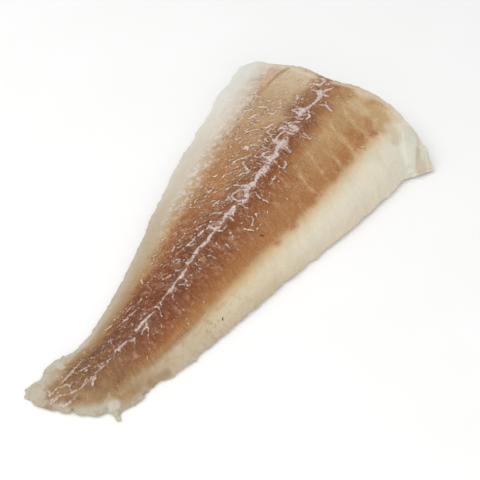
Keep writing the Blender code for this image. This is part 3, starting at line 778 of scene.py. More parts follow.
# Faint, half clear film: smears between the strands.
filmStrokes = [
    [(272.5, 143.5, 1.5), (269.4, 144.9, 1.5), (267.3, 148.5, 1.3), (265.3, 150.7, 1.4), (265.8, 153.5, 1.3),
     (268.5, 155.5, 1.6)],
    [(268, 149.5, 3.5), (271, 151.5, 4.5), (273.5, 148, 3)],
    [(236, 194.5, 3), (239.5, 193.5, 4), (243.5, 193, 4), (241.5, 198.5, 4)],
    [(227, 212, 2), (223.4, 211.3, 1.8), (219.5, 209, 1.8), (217, 209.8, 1.4), (213, 212.6, 1.3)],
    [(213, 221.5, 1.4), (217, 222.5, 2), (220, 221.8, 2)], [(211, 226, 3), (214, 225, 3.4), (217.5, 223, 3)],
    [(272.4, 182, 2), (272.6, 184.4, 2.6), (276, 187.2, 2), (281.1, 188.3, 2.2)],
    [(231.5, 236, 3), (231.8, 238.5, 4.5), (231.5, 241.6, 2)],
    [(223.9, 238.1, 1.3), (228, 239.1, 1.6), (231, 238.8, 2)],
    [(236.1, 226.3, 2), (239.7, 229.4, 2.2), (244, 229.2, 1.8)], [(235.1, 230.4, 2), (239, 229.8, 2)],
    [(213.2, 245.7, 2.4), (217.5, 246.4, 3.6), (222.9, 247.8, 3.2), (225.4, 251.8, 2), (224.4, 255.9, 2)],
    [(199.4, 260.5, 2), (203, 258.4, 4), (204.3, 262, 3), (206.5, 264.5, 2), (209.5, 263.5, 1.6)],
    [(189, 236.5, 1.4), (186, 239.5, 1.4)], [(186.1, 275.2, 1.8), (190.2, 276.2, 1.8), (194.3, 277.8, 1.4)],
    [(198.4, 277.8, 1.8)], [(174.4, 307.3, 2)], [(177.5, 309.4, 1.6), (180, 311.6, 3), (180.6, 313, 2.4)],
    [(180.3, 312, 2), (181.8, 309.6, 1.4)], [(187.7, 295.2, 2), (187.8, 299, 2)],
    [(163.5, 267.2, 2.6), (166, 265.4, 2)], [(154.5, 282.3, 2), (153.5, 283.8, 1.6)],
    [(146.5, 285, 1.6), (147.2, 287, 1.4)], [(157, 272.5, 2.4), (157.3, 270, 1.4)], [(161.6, 274.2, 1.8)],
    [(301.5, 190.8, 2.2)], [(298, 185.2, 1.4), (295.4, 188.3, 1.6)], [(303.1, 162.8, 2.4)],
    [(287.2, 186.2, 1.8)], [(324.4, 129.4, 2.6), (325.8, 130.4, 2)], [(320.2, 126.8, 2)], [(327.3, 124, 1.6)],
    [(267.1, 130.9, 1.3), (271.7, 128.4, 1.4), (274.3, 126.3, 1.3)],
    [(256.6, 142.9, 2), (258.7, 140.8, 2), (263, 139.6, 2.6), (266.5, 140.2, 2)],
    [(249.5, 141.3, 1.8)], [(252.6, 142.9, 1.8), (254.1, 140.8, 1.4)], [(249.1, 103.2, 3), (252, 104, 3)],
    [(237.3, 113.4, 4), (236, 116.6, 3.4)], [(228.2, 129.2, 3), (227.6, 131.5, 3.4)],
    [(238.4, 123.6, 2.6), (241.4, 121, 1.6)], [(259.3, 78.7, 4), (258.6, 81, 3)],
    [(217.4, 140.9, 1.6), (220, 140, 1.4)], [(231.7, 123.1, 2)], [(193.8, 187, 1.6), (193, 190.4, 1.6)],
    [(200.4, 196.2, 1.6)], [(244.5, 170.8, 1.2), (240, 172, 1.4), (235.5, 173.4, 1.2)],
    [(259.7, 150, 1.8), (258.2, 151.5, 1.4)], [(254.1, 154.1, 1.4), (256.2, 153.5, 1.4)],
    [(220, 198.4, 1.6), (223.5, 193.8, 2)], [(119.7, 328.8, 1.2), (123.8, 326.2, 1.2), (127.9, 322.7, 1.2)],
    [(110, 333.4, 2.8), (108.5, 335.5, 2)], [(120.7, 359, 1.6), (120.5, 362, 1.6)], [(133.5, 356.8, 1.6)],
    [(143.7, 350.2, 2)], [(158, 352, 1.6)], [(146.2, 342.6, 1.8)], [(102.3, 342.6, 1.6)], [(102.9, 339, 1.5)],
    [(85.6, 351.6, 1.8), (84.8, 355, 2)], [(60.8, 363.4, 3), (60.2, 366, 2.6)], [(59.3, 379.2, 2.4)],
    [(78.4, 404.8, 1.6), (78, 407.5, 1.6)], [(81, 402, 1.4), (81, 405, 1.4)],
    [(93.5, 380.7, 3.4), (92.8, 384, 2.6)], [(104, 364, 5), (100.5, 367, 4)],
    [(284.5, 137.6, 2.6), (282.5, 140, 2)],
]

# Strands without holes: long thin ones on the tail, and the streak by the cut end.
wholeStrokes = [
    [(79.5, 364, 1.8), (74, 370, 2.8), (69, 375.5, 2.6), (64, 380.8, 2.2), (59.5, 384.3, 1.6)],
    [(56, 389, 1.6), (58.5, 387, 2), (62, 387.5, 1.8), (64.5, 385, 2.4), (67.2, 384.6, 1.8), (70, 385, 1.6),
     (72.5, 382, 1.6)],
    [(68, 385, 1.5), (69.5, 388.5, 1.4), (71, 391, 1.4)],
    [(50.5, 395, 1.5), (54, 391.6, 1.4), (57, 389, 1.4)],
    [(50.6, 404.4, 1.4), (54, 401.5, 1.6), (57, 398.4, 1.5)],
    [(47, 389.5, 1.5), (49, 391.5, 1.9), (49.6, 396, 1.8)],
    [(59, 405.4, 1.8), (63, 406, 2.4), (68, 404.2, 2.2), (72, 401, 1.4), (76, 396.8, 1.2), (78, 394, 1.1)],
    [(321, 95.5, 4), (318.3, 99.6, 3.6), (314.2, 103, 3.4), (309.4, 106.6, 3.2), (304.5, 109.3, 3.4),
     (300, 110.3, 2)],
    [(321, 93, 3.6), (325, 91.2, 2.8), (329, 89.3, 2.2), (333, 87.8, 1.5)],
    [(320, 93, 3.6), (316, 90.6, 1.8), (311.5, 90.6, 1.5)],
    [(322, 94.5, 3), (326, 95.6, 2), (329, 96.6, 1.3)],
    [(309.4, 84.2, 1.8), (314, 83.6, 2.4), (318, 85.6, 2.4), (322, 83.6, 2.4), (325.2, 80.5, 1.8),
     (319.5, 78.8, 1.5)],
    [(319.4, 104.8, 1.6), (325.5, 104.8, 2)],
]


def tracedPath(stroke, widths=1.0):
    # places and half widths in millimetres
    half = pixelSize() * widths / 2
    return np.array([(*underPixel(fleshTree, x, y), width * half) for x, y, width in stroke])


def drawTraced(strokes):
    # the strokes given as pixels, laid on the flesh, and thinner to the tail
    total = emptyField(webArea)
    for stroke in strokes:
        path = tracedPath(stroke, webShape["widths"])
        path[:, 2] *= 1 - webShape["tailThinning"] * smoothStep(35, -40, path[:, 0])
        if len(path) == 1:
            path = np.vstack((path, path + (0.01, 0, 0)))
        path = resample(path, 0.6)
        field = emptyField(webArea)
        drawStroke(webArea, field, path[:, :2], path[:, 2])
        total = joinFields(total, field, webShape["blend"])
    return total


def randomPlace(draw, backShare, spread):
    # somewhere in the brown band: more often on the back side, and denser towards the streak
    while True:
        side = "back" if draw.random() < backShare else "belly"
        x = draw.uniform(*webShape["randomAlong"])
        middle, edge = np.interp(x, *spine), np.interp(x, *edges[side])
        place = np.array((x, middle + (0.03 + spread * draw.random() ** 1.15) * (edge - middle)))
        room = abs(edge - middle) * (0.55 + 0.45 * smoothStep(-70, 10, x))
        kept = draw.random() < webShape["quietShare"]
        calm = kept and any(np.linalg.norm(place - spot) < radius for spot, radius in quietSpots)
        if room > draw.uniform(0, 50) and not calm:
            return place, side


def drawStrand(field, draw, place, degrees, length, bend, thick):
    # a short curved strand, thinner at its ends
    angle = math.radians(degrees)
    path, parts = [place], 4
    for _ in range(parts):
        path.append(path[-1] + length / parts * np.array((math.cos(angle), math.sin(angle))))
        angle += bend + draw.gauss(0, webShape["wander"])
    path = resample(path, 0.5)
    ends = np.minimum(np.linspace(0, 1, len(path)), np.linspace(1, 0, len(path)))
    drawStroke(webArea, field, path, thick * (0.35 + 0.65 * np.minimum(ends * 4, 1)))


def drawSmallStroke(field, draw):
    place, side = randomPlace(draw, *webShape["smallPlaces"])
    wide = smoothStep(-110, 95, place[0])
    thick = draw.uniform(*webShape["smallWidths"]) * (0.75 + 0.25 * wide)
    byTail, turn, spread, shortest, longest, bend = webShape[side + "Strands"]
    degrees = byTail + turn * wide + draw.gauss(0, spread)
    drawStrand(field, draw, place, degrees, draw.uniform(shortest, longest), draw.gauss(0, bend), thick)


def drawFleck(field, draw):
    place, _ = randomPlace(draw, *webShape["fleckPlaces"])
    degrees, length = draw.gauss(*webShape["fleckTurn"]), draw.uniform(*webShape["fleckLengths"])
    bend = draw.gauss(0, webShape["fleckBend"])
    drawStrand(field, draw, place, degrees, length, bend, draw.uniform(*webShape["fleckWidths"]))


def drawCurls():
    # faint curly strands beside the streak, on the belly half
    draw = random.Random(webShape["curlSeed"])
    field = emptyField(webArea)
    for _ in range(webShape["curls"]):
        x = draw.uniform(*webShape["curlsAlong"])
        middle, edge = np.interp(x, *spine), np.interp(x, *edges["belly"])
        place = np.array((x, middle + draw.uniform(*webShape["curlsAcross"]) * (edge - middle)))
        bend = draw.choice((-1, 1)) * draw.uniform(*webShape["curlBends"])
        degrees, length = draw.gauss(*webShape["curlTurn"]), draw.uniform(*webShape["curlLengths"])
        drawStrand(field, draw, place, degrees, length, bend, draw.uniform(*webShape["curlWidths"]))
    return field


def drawRandom():
    # small strands and dots all over the brown band
    draw = random.Random(webShape["seed"])
    field = emptyField(webArea)
    for _ in range(webShape["smallStrokes"]):
        drawSmallStroke(field, draw)
    for _ in range(webShape["flecks"]):
        drawFleck(field, draw)
    return field


def bridgeGaps(field):
    # thin film that fills the narrow gaps between strokes
    reach, cover, steepness = webShape["bridge"]
    return (blur((field > 0).astype(float), reach) - cover) * steepness


def veilAt(x, y):
    # the thin torn film that is only colour: strongest on the faint strokes, weaker in the gaps between them
    parts = []
    for field, name in ((faintField, "faintVeil"), (bridgeField, "bridgeVeil")):
        softness, level, strength = webShape[name]
        parts.append(np.clip(readField(webArea, field, x, y, -1) / softness + level, 0, 1) * strength)
    return np.maximum(*parts)


def webLift(points, inner):
    # how high the membrane lies over the flesh, in millimetres
    lumps = 1 + layeredNoise(points, webShape["liftLumps"], 83.0)
    rise = smoothStep(*webShape["liftRise"], inner - webShape["hem"])
    return webShape["lift"] * lumps * rise + webShape["liftLeast"]


print("silver membrane")
quietSpots = [(underPixel(fleshTree, x, y), radius) for x, y, radius in webShape["quiet"]]
tracedField = joinFields(drawTraced(streakStrokes), drawTraced(looseStrokes), webShape["blend"])
whiteField = roughen(webArea, tracedField, webShape, torn=True)
faintField = roughen(webArea, np.maximum(drawTraced(filmStrokes), drawCurls()), webShape, torn=True)
smallField = roughen(webArea, np.maximum(drawRandom(), drawTraced(wholeStrokes)), webShape)
bridgeField = bridgeGaps(np.maximum(whiteField, faintField))
webField = np.maximum(whiteField, smallField)
hazeField = blur((np.maximum(webField, faintField) > 0).astype(float), webShape["hazeReach"])
closeField = blur((webField > 0).astype(float), webShape["closeReach"])
web = sheetOnFlesh("silverWeb", webArea, webField + webShape["hem"], webLift)
webPoints = readPoints(web)
webFilm = readField(webArea, webField, *(webPoints[:, :2] / mm).T, -1)
setLayer(web, "film", np.clip(webFilm, -1, 1.5))


# Dark specks: two thin dark scraps that stick to the belly half

speckShape = {
    "strokes": [        # pixel and width
        [(260, 235.9, 1.1), (261.6, 235.5, 2.2), (263.6, 236, 1.1)],
        [(222.9, 317.7, 0.7), (222.7, 319.9, 1.3)],
    ],
    "pitch": 0.16,
    "lift": 0.14,
    "thickness": 0.3,
}


def makeSpecks():
    paths = [tracedPath(stroke) for stroke in speckShape["strokes"]]
    places = np.vstack(paths)
    area = {"pitch": speckShape["pitch"], "low": places[:, :2].min(0) - 2, "high": places[:, :2].max(0) + 2}
    field = emptyField(area)
    for path in paths:
        path = resample(path, 0.3)
        drawStroke(area, field, path[:, :2], path[:, 2])
    made = sheetOnFlesh("darkSpecks", area, field, lambda points, inner: speckShape["lift"] + 0 * inner)
    thicken(made, speckShape["thickness"])
    return made


print("dark specks")
specks = makeSpecks()


# Torn flake: the pale scrap that has come loose at the belly corner of the cut end

flakeArea = {"pitch": 0.22, "low": (78.0, -58.0), "high": (106.0, -30.0)}

flakeShape = {
    "outline": [
        (394.6, 149.3), (396.4, 146.6), (400.9, 142.1), (400.9, 134.1), (407.1, 132.8), (413.4, 132.3),
        (417, 135), (416.4, 142), (416, 149.3), (415.2, 162.7), (415.2, 170.7), (411.6, 165.4),
        (407.1, 158.2), (398.2, 151),
    ],
    "warp": [(0.25, 2.5)],
    "edgeNoise": [(0.12, 1.0)],
    "freeSide": (406, 126),     # the pixel its raised edge faces
    "reach": 13.0,
    "lift": 0.45,
    "sink": 0.12,
    "thickness": 0.8,
}


def polygonField(area, outline):
    # distance inside a closed outline, and below 0 outside
    field = emptyField(area)
    cells = np.argwhere(field < 0)
    places = cellPlaces(area, cells)
    nearest = np.full(len(cells), 1e9)
    crossings = np.zeros(len(cells), int)
    for a, b in zip(outline, np.roll(outline, -1, axis=0)):
        run = b - a
        share = np.clip(((places - a) @ run) / (run @ run), 0, 1)
        nearest = np.minimum(nearest, np.linalg.norm(places - a - share[:, None] * run, axis=1))
        spans = (a[1] > places[:, 1]) != (b[1] > places[:, 1])
        rise = b[1] - a[1] if b[1] != a[1] else 1e-9
        crossings += spans & (places[:, 0] < (b[0] - a[0]) * (places[:, 1] - a[1]) / rise + a[0])
    field[cells[:, 0], cells[:, 1]] = np.where(crossings % 2 == 1, nearest, -nearest)
    return field


def flakeLift(points, inner):
    # high along the torn edge, and sunk into the flesh on the far side
    free = underPixel(fleshTree, *flakeShape["freeSide"])
    raised = smoothStep(flakeShape["reach"], 0.35 * flakeShape["reach"], awayFromPlace(points, free))
    return flakeShape["lift"] * (1 + 0.2 * noiseAt(points, 5.0, 91.0)) * raised - flakeShape["sink"]


print("torn flake")
flakeOutline = np.array([underPixel(fleshTree, x, y) for x, y in flakeShape["outline"]])
flakeField = roughen(flakeArea, polygonField(flakeArea, flakeOutline), flakeShape)
flake = sheetOnFlesh("tornFlake", flakeArea, flakeField, flakeLift)
thicken(flake, flakeShape["thickness"])


# Layers that the colours read

muscleLines = [     # pale lines between the muscle segments by the cut end, as pixels
    [(355, 99), (362.5, 106), (369, 116), (375, 125)],
    [(343, 103), (346, 112.5), (351, 121), (356, 127.5), (363, 131)],
    [(329, 121), (336, 132.5), (342.5, 141), (352.5, 147.5)],
    [(325, 150), (331, 156), (339, 161)],
    [(307.5, 152.5), (315, 162.5), (322.5, 172.5)],
    [(300, 174), (307.5, 185), (314, 191)],
]

# Brush strokes of colour: the pixels they pass through, and how wide and how soft they are.
brushes = {
    "pale": [
        ([(361, 91), (371, 95)], 1.4, 3.4), ([(333, 82), (341, 83.5), (350, 86), (360, 90)], 0.3, 1.8),
        ([(371, 95), (384, 101), (394, 109), (401, 119)], 0.8, 2.3),
        ([(262, 66), (274, 66), (290, 68), (300, 71.5)], 0.8, 2.2),
        ([(300, 71.5), (306, 73.5), (315, 77.5)], 0.3, 1.8),
    ],
    "fold": [
        # fold: painted shade, darker along the crease by the back margin; its second line runs by the tail's
        # belly edge
        (fleshShape["foldLine"], 0.3, 1.5), ([(111, 394), (119, 397), (128, 394), (138, 389)], 0.3, 1.3),
    ],
    "blush": [([(274, 68), (268, 75), (262, 84), (257, 94)], 0.9, 2.4)],
    "tipTan": [
        ([(60, 385), (61, 390), (58, 394)], 2.0, 2.0), ([(72, 398), (86, 397), (98, 396)], 1.6, 2.6),
        ([(105, 383), (112, 385)], 0.5, 2.2),
    ],
    "muscle": [(line, 0.1, 1.5) for line in muscleLines],
    "cloud": [
        ([(350, 133), (357, 137), (363, 139)], 1.2, 2.8), ([(366, 137), (375, 133)], 0.5, 2.2),
        ([(367, 118), (369, 124)], 0.8, 2.6), ([(343, 154), (347, 158)], 1.2, 3.0),
        ([(326, 174), (331, 178)], 1.0, 3.0), ([(305, 196), (310, 201)], 1.2, 3.2),
        ([(284, 219), (291, 224)], 1.4, 3.4), ([(267, 237), (275, 240)], 1.2, 3.2),
    ],
    "flakePale": [([(408, 138), (409, 150), (410, 164)], 1.0, 5.0), ([(394, 151), (404, 160)], 0.6, 5.0)],
    "flapTan": [
        ([(421, 152), (422, 160), (421, 168)], 1.6, 2.2),
        ([(388, 127), (393, 131), (396, 136), (395, 142)], 0.9, 2.4),
    ],
    "ochre": [([(372, 113), (379, 114), (384, 120), (382, 128)], 1.6, 3.4)],
    "straw": [([(355, 104), (363, 111)], 1.8, 3.8), ([(362, 98), (360, 102)], 1.0, 2.6)],
    "flapGrey": [([(422, 140), (426, 148), (425, 153)], 1.4, 1.6)],
    "tailBrown": [
        ([(65, 382.5), (68, 380)], 0.5, 1.4), ([(75, 384), (82, 384)], 0.7, 1.6),
        ([(86, 380), (84, 389)], 0.4, 1.4), ([(68, 399), (79, 398)], 0.3, 1.8),
    ],
    "flankTan": [
        ([(151, 385), (157, 381)], 0.7, 1.8), ([(160, 378), (168, 373)], 0.2, 2.0),
        ([(144, 394), (147, 392)], 0.1, 1.2), ([(47, 408), (51, 410)], 0.3, 1.4),
    ],
    "rimGrey": [([(110, 407), (117, 405)], 0.5, 1.4), ([(59, 365), (62, 367)], 0.4, 1.6)],
    "tipPale": [
        ([(27, 390), (29, 398), (38, 406), (50, 412), (66, 414), (84, 415), (104, 412)], 1.4, 2.6),
        ([(44, 374), (38, 384), (33, 392), (38, 398)], 2.0, 3.2),
        ([(84, 344), (75, 352), (66, 359), (56, 363), (48, 369)], 1.2, 2.6),
    ],
}


def paintLayer(points, strokes):
    total = np.zeros(len(points))
    for places, width, soft in strokes:
        total = np.maximum(total, 1 - smoothStep(width, width + soft, awayFrom(points, places)))
    return total


def flowPlace(points, off):
    # place across and along the way the strands run, which leans outwards to the tail
    x = points[:, 0] / mm
    steps = np.arange(-120, 121)
    lean = np.cumsum(np.tan(np.radians(12 + 28 * smoothStep(-110, 95, steps))))
    return np.where(off > 0, np.interp(x, steps, lean) + off, x - 0.4 * off), np.where(off > 0, x, off)


def setLayers(piece, points, phase, skin, under=0.0, cut=0.0, rings=0.0):
    # all that the colours read, on the flesh and on the membrane that lies on it
    x, y, _ = (points / mm).T
    share, off = acrossShare(points)
    across, along = flowPlace(points, off)
    belly = smoothStep(-0.34, -0.56, share) * smoothStep(-0.67, -0.57, share)
    blobs = np.clip(1.4 - abs(np.mod(phase, 1) - 0.6) / 0.6, 0, 1) * (0.7 + 0.5 * noiseAt(points, 9.0, 97.0))
    lines = peak(phase, 0.2) * smoothStep(-0.10, -0.28, share) * smoothStep(-0.85, -0.6, share)
    layers = {
        "across": share, "along": x, "flowAcross": across, "flowAlong": along,
        "under": under, "cut": cut, "rings": rings,
        "silver": smoothStep(15, 4, abs(off)),
        "haze": readField(webArea, hazeField, x, y) * skin,
        "near": readField(webArea, closeField, x, y) * skin,
        "veil": veilAt(x, y) * skin,
        "rust": np.clip(blobs, 0, 1) * belly * skin * smoothStep(-70, -30, x) * smoothStep(100, 84, x),
        "lines": lines * skin * smoothStep(-10, 60, x),
    }
    for name, values in layers.items():
        setLayer(piece, name, values + np.zeros(len(points)))
    for name, strokes in brushes.items():
        setLayer(piece, name, paintLayer(points, strokes) * (1 - under))


setLayers(flesh, **body)
setLayers(web, webPoints, roughPhase(webPoints, acrossShare(webPoints)[1]), 1.0)
thicken(web, webShape["thickness"])


# Colours

def paint(red, green, blue):
    # a screen colour, 0 to 255, as Blender's linear one
    def linear(value):
        value /= 255
        return value / 12.92 if value <= 0.04045 else ((value + 0.055) / 1.055) ** 2.4
    return (linear(red), linear(green), linear(blue), 1.0)


fishColours = {
    "whiteCream": (213, 205, 185), "cream": (208, 193, 166), "dullCream": (190, 173, 146),
    "greyCream": (184, 171, 150), "shadeCream": (176, 159, 134), "sand": (196, 168, 126),
    "tan": (172, 131, 84), "honey": (175, 141, 98), "caramel": (160, 112, 68), "brown": (139, 86, 43),
    "redBrown": (122, 66, 28), "deepBrown": (105, 52, 21), "rose": (124, 75, 46), "beige": (178, 148, 113),
    "paleBeige": (192, 170, 143), "warmGrey": (200, 189, 172), "paleGrey": (215, 211, 200),
    "dullBrown": (112, 72, 40), "paleBrown": (130, 90, 56), "dullTan": (158, 132, 99),
    "oliveTan": (147, 115, 75), "olive": (128, 96, 56), "tipGrey": (181, 176, 159),
    "paleTan": (199, 180, 150),
}

# Which colour lies where across the skin side: -1 is the belly edge, 0 the streak and 1 the back edge.
# Each row belongs to a place along the fish, in millimetres.
zones = [
    (104, [
        (-1, "whiteCream"), (-0.70, "whiteCream"), (-0.60, "cream"), (-0.52, "sand"), (-0.42, "honey"),
        (-0.24, "honey"), (-0.10, "caramel"), (0.08, "caramel"), (0.20, "paleTan"), (0.50, "paleTan"),
        (0.56, "paleBeige"), (0.63, "warmGrey"), (0.76, "paleGrey"), (1, "paleGrey"),
    ]),
    (75, [
        (-1, "whiteCream"), (-0.88, "whiteCream"), (-0.76, "whiteCream"), (-0.68, "cream"), (-0.62, "sand"),
        (-0.56, "tan"), (-0.26, "honey"), (-0.18, "caramel"), (-0.10, "rose"), (0.08, "rose"),
        (0.20, "beige"), (0.50, "beige"), (0.58, "paleBeige"), (0.68, "warmGrey"), (0.82, "paleGrey"),
        (1, "paleGrey"),
    ]),
    (28, [
        (-1, "cream"), (-0.90, "whiteCream"), (-0.82, "whiteCream"), (-0.73, "cream"), (-0.66, "sand"),
        (-0.58, "caramel"), (-0.44, "caramel"), (-0.22, "brown"), (-0.10, "redBrown"), (0.10, "rose"),
        (0.28, "caramel"), (0.48, "caramel"), (0.60, "beige"), (0.73, "warmGrey"), (0.84, "warmGrey"),
        (1, "warmGrey"),
    ]),
    (-22, [
        (-1, "dullCream"), (-0.88, "cream"), (-0.80, "cream"), (-0.70, "sand"), (-0.64, "honey"),
        (-0.59, "caramel"), (-0.46, "brown"), (-0.26, "redBrown"), (-0.10, "deepBrown"), (0.12, "deepBrown"),
        (0.30, "redBrown"), (0.46, "brown"), (0.60, "honey"), (0.73, "shadeCream"), (0.84, "shadeCream"),
        (1, "shadeCream"),
    ]),
    (-62, [
        (-1, "greyCream"), (-0.86, "dullCream"), (-0.74, "dullCream"), (-0.65, "oliveTan"),
        (-0.58, "caramel"), (-0.50, "brown"), (-0.36, "redBrown"), (-0.14, "deepBrown"), (0.12, "deepBrown"),
        (0.42, "deepBrown"), (0.50, "redBrown"), (0.59, "oliveTan"), (0.70, "dullTan"), (0.84, "shadeCream"),
        (1, "shadeCream"),
    ]),
    (-90, [
        (-1, "greyCream"), (-0.84, "dullTan"), (-0.70, "dullTan"), (-0.60, "oliveTan"), (-0.48, "paleBrown"),
        (-0.14, "paleBrown"), (0.10, "dullBrown"), (0.40, "dullBrown"), (0.56, "oliveTan"), (0.68, "dullTan"),
        (0.82, "greyCream"), (1, "tipGrey"),
    ]),
    (-106, [
        (-1, "tipGrey"), (-0.70, "tipGrey"), (-0.52, "dullTan"), (-0.20, "olive"), (0.28, "olive"),
        (0.46, "dullTan"), (0.64, "greyCream"), (1, "tipGrey"),
    ]),
]


class Nodes:
    # short way to add and join the nodes of a material or group
    def __init__(self, tree):
        self.tree = tree

    def add(self, kind, inputs=None, **values):
        made = self.tree.nodes.new(kind)
        for name, value in values.items():
            setattr(made, name, value)
        for name, value in (inputs or {}).items():
            self.feed(made.inputs[name], value)
        return made

    def feed(self, socket, value):
        if isinstance(value, bpy.types.NodeSocket):
            self.tree.links.new(value, socket)
        else:
            socket.default_value = value

    def math(self, operation, *values):
        made = self.add("ShaderNodeMath", operation=operation)
        for socket, value in zip(made.inputs, values):
            self.feed(socket, value)
        return made.outputs[0]

    def centred(self, value):
        # a noise that lies about 0
        return self.math("SUBTRACT", value, 0.5)

    def product(self, *values):
        total = values[0]
        for value in values[1:]:
            total = self.math("MULTIPLY", total, value)
        return total

    def layer(self, name):
        return self.add("ShaderNodeAttribute", attribute_name=name).outputs["Fac"]

    def fit(self, value, low, high, toLow=0.0, toHigh=1.0):
        return self.add(
            "ShaderNodeMapRange",
            {"Value": value, "From Min": low, "From Max": high, "To Min": toLow, "To Max": toHigh},
            interpolation_type="SMOOTHSTEP",
        ).outputs["Result"]

    def noise(self, size, detail=2.0, roughness=0.5, stretch=(1, 1, 1), seed=0.0, distortion=0.0, place=None):
        # size is that of a lump, in millimetres
        if place is None:
            place = self.add("ShaderNodeTexCoord").outputs["Object"]
        shift = (seed, seed, 0)
        mapped = self.add("ShaderNodeMapping", {"Vector": place, "Scale": stretch, "Location": shift})
        return self.add("ShaderNodeTexNoise", {
            "Vector": mapped.outputs[0], "Scale": 1 / (size * mm), "Detail": detail, "Roughness": roughness,
            "Distortion": distortion,
        }).outputs["Fac"]

    def flowNoise(self, size, stretch, detail=2.0, roughness=0.5, seed=0.0, distortion=0.0):
        # noise drawn out along the strands
        along = self.product(self.layer("flowAlong"), mm / stretch)
        across = self.product(self.layer("flowAcross"), mm)
        place = self.add("ShaderNodeCombineXYZ", {"X": along, "Y": across}).outputs[0]
        return self.noise(size, detail, roughness, seed=seed, distortion=distortion, place=place)

    def mix(self, share, a, b, blend="MIX"):
        made = self.add("ShaderNodeMix", data_type="RGBA", blend_type=blend, clamp_factor=True)
        self.feed(made.inputs["Factor"], share)
        self.feed(made.inputs["A"], a)
        self.feed(made.inputs["B"], b)
        return made.outputs["Result"]

    def ramp(self, share, stops):
        made = self.add("ShaderNodeValToRGB", {"Fac": share})
        points = made.color_ramp.elements
        while len(points) < len(stops):
            points.new(1.0)
        for point, (place, colour) in zip(points, stops):
            point.position = place
            point.color = colour
        return made.outputs["Color"]

    def greys(self, share, spread):
        # grey round the middle, for a soft light mix
        low, high = 0.5 - spread, 0.5 + spread
        return self.ramp(share, [(0.3, (low, low, low, 1)), (0.7, (high, high, high, 1))])


toneLook = {
    "shareNoise": (0.075, 4.5),
    "fineShareNoise": (0.05, 1.4),
    "rust": paint(158, 106, 62),
    "cloud": paint(158, 106, 62),
    "ochre": paint(172, 142, 96),
    "straw": paint(202, 178, 138),
    "line": paint(200, 174, 132),
    "pale": paint(212, 199, 178),
    # fold: painted shade of the crease by the back margin
    "fold": paint(152, 118, 78),
    "blush": paint(196, 156, 130),
    "tipTan": paint(144, 112, 70),
    "tailBrown": paint(124, 80, 50),
    "flankTan": paint(144, 118, 82),
    "rimGrey": paint(206, 204, 196),
    "muscle": paint(214, 194, 162),
    "flakePale": paint(208, 205, 190),
    "flapTan": paint(196, 184, 162),
    "flapGrey": paint(204, 203, 186),
    "tipPale": paint(182, 174, 155),
    "smear": paint(196, 158, 122),
    "vein": paint(212, 181, 150),
    "haze": paint(162, 108, 70),
    "shadow": paint(88, 42, 18),
    "veil": paint(178, 130, 98),
    "veilThread": paint(212, 192, 178),
    "fringe": paint(217, 206, 200),
    "speck": paint(230, 212, 186),
    "patch": paint(172, 146, 110),
    "darkStreak": paint(106, 56, 24),
    "lightStreak": paint(188, 144, 97),
    "cutPale": paint(221, 214, 200),
    "cutLine": paint(201, 190, 171),
    "underPale": paint(219, 208, 190),
    "underLine": paint(196, 176, 152),
}

# How much of a brush's colour shows
brushStrength = {
    "ochre": 0.6, "straw": 0.5, "pale": 0.7, "fold": 0.75, "blush": 0.6, "muscle": 0.14, "flakePale": 0.9,
    "flapTan": 0.85, "flapGrey": 0.9, "tipPale": 0.8, "tipTan": 0.8, "tailBrown": 0.6, "flankTan": 0.7,
    "rimGrey": 0.6,
}


def zoneRamp(n, share, stops):
    return n.ramp(share, [((place + 1) / 2, paint(*fishColours[name])) for place, name in stops])


